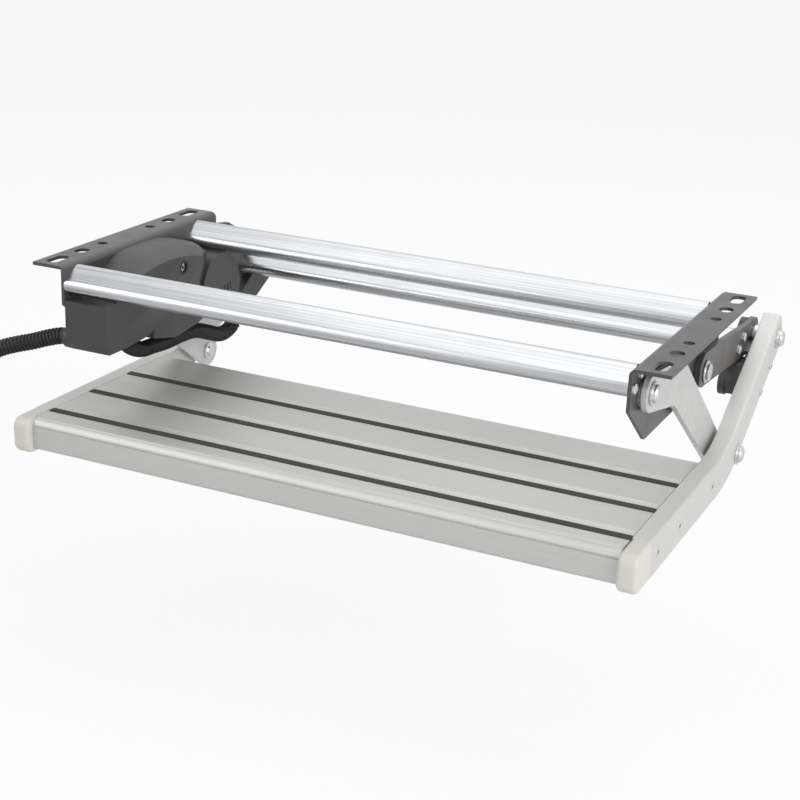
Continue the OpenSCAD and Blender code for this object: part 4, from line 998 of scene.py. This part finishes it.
class STEP_OT_screws(bpy.types.Operator):
    """Makes the screws' heads with their star recesses"""
    bl_idname = "caravan_step.screws"
    bl_label = "Screws"

    def execute(self, context):
        for node, body, radius, height, foot in SCREWS:
            give(node, bright_zinc_steel)
            screw_heads(node, body, radius, height, foot)
        self.add_cover_bolt()
        return {"FINISHED"}

    def add_cover_bolt(self):
        """The cover's bolt with a hexagon head; round the head, a black liner paints the recess's
        shade as a dark ring.
        """
        low, high = corners("housing_bolt")
        middle = (low + high) / 2
        head, head_radius, shank_radius = 3.6 * MM, 4.4 * MM, 2.5 * MM
        drive_radius, drive_low, drive_depth = 2 * MM, 0.2 * MM, 0.3 * MM
        bm = bmesh.new()
        across = Matrix.Rotation(math.radians(90), 4, "Y")
        for radius, sides, start, end in (
                (head_radius, 6, high.x - head, high.x),
                (shank_radius, 24, low.x, high.x - head / 2)):
            place = Matrix.Translation(((start + end) / 2, middle.y, middle.z))
            bmesh.ops.create_cone(bm, cap_ends=True, segments=sides, radius1=radius,
                                  radius2=radius, depth=end - start, matrix=place @ across)
        make_piece("housing_bolt_dressed", bm, "frame", bright_zinc_steel,
                   ("housing_bolt",))
        drive = bmesh.new()
        star(drive, Vector((high.x - drive_low, middle.y, middle.z)), 1, drive_radius,
             drive_depth)
        tidy_normals(drive)
        make_piece("housing_bolt_drive", drive, "frame", shadowed_steel)
        self.add_bolt_painted_shade(Vector((0, middle.y, middle.z)))

    def add_bolt_painted_shade(self, centre):
        """A black liner of the bolt's recess, with its thin rim on the cover's face: painted
        shade, dark where little light reaches into the recess.
        """
        face = COVER_FACE_X
        hole, socket, rim = 2.6 * MM, 5.1 * MM, 7 * MM
        wall, depth, proud = 0.3 * MM, 5 * MM, 0.25 * MM
        outline = [(hole, face - depth), (socket, face - depth), (socket, face),
                   (rim, face), (rim, face + proud), (socket - wall, face + proud),
                   (socket - wall, face - depth + wall), (hole, face - depth + wall),
                   (hole, face - depth)]
        bm = bmesh.new()
        turned(bm, centre, outline, 1)
        tidy_normals(bm)
        # Painted shade: the conduit's near black plastic darkens the recess and the rim round it
        make_piece("housing_bolt_painted_shade", bm, "frame", corrugated_polyamide)


class STEP_OT_housing(bpy.types.Operator):
    """Rounds the drive's housing and finishes what it holds"""
    bl_idname = "caravan_step.housing"
    bl_label = "Drive housing"

    def execute(self, context):
        sizes = context.scene.step_sizes
        for node, width, angle in (("motor_cover", sizes.moulded_round, 20),
                                   ("gear_case_cap", 0.6 * MM, 24),
                                   ("housing_back_plate", 0.4 * MM, 24)):
            rounded_copy(node, "frame", moulded_grained_abs, width, angle)
        for maker, nodes in (
                (moulded_grained_abs, ("motor_clamps", "rear_conduit_collars", "conduit_gland")),
                (moulded_plug_polyamide, ("limit_switch",)),
                (painted_motor_steel, ("motor_can",)),
                (bright_zinc_steel, ("worm_shaft", "output_shaft")),
                (sintered_bronze, ("worm_wheel", "worm_bearings", "shaft_bush"))):
            for node in nodes:
                give(node, maker)
        return {"FINISHED"}


class STEP_PT_panel(bpy.types.Panel):
    """Lists the step's sizes, colours and pieces"""
    bl_idname = "STEP_PT_panel"
    bl_label = "Caravan Step"
    bl_space_type = "VIEW_3D"
    bl_region_type = "UI"
    bl_category = "Step"

    def draw(self, context):
        column = self.layout.column()
        for group in (context.scene.step_sizes, context.scene.step_colours):
            for key in group.__annotations__:
                column.prop(group, key)
        for operator in OPERATORS:
            column.operator(operator.bl_idname)


OPERATORS = (
    STEP_OT_stage, STEP_OT_supply_conduit, STEP_OT_rear_conduit, STEP_OT_tread, STEP_OT_arms,
    STEP_OT_end_caps, STEP_OT_sheet_metal, STEP_OT_tubes, STEP_OT_pivots, STEP_OT_screws,
    STEP_OT_housing,
)
CLASSES = (StepSizes, StepColours, *OPERATORS, STEP_PT_panel)


def register():
    for item in CLASSES:
        bpy.utils.register_class(item)
    bpy.types.Scene.step_sizes = PointerProperty(type=StepSizes)
    bpy.types.Scene.step_colours = PointerProperty(type=StepColours)


def unregister():
    del bpy.types.Scene.step_colours
    del bpy.types.Scene.step_sizes
    for item in reversed(CLASSES):
        bpy.utils.unregister_class(item)


def main():
    register()
    step = bpy.ops.caravan_step
    step.stage()
    step.supply_conduit()
    step.rear_conduit()
    step.tread()
    step.arms()
    step.end_caps()
    step.sheet_metal()
    step.tubes()
    step.pivots()
    step.screws()
    step.housing()


if __name__ == "__main__":
    main()
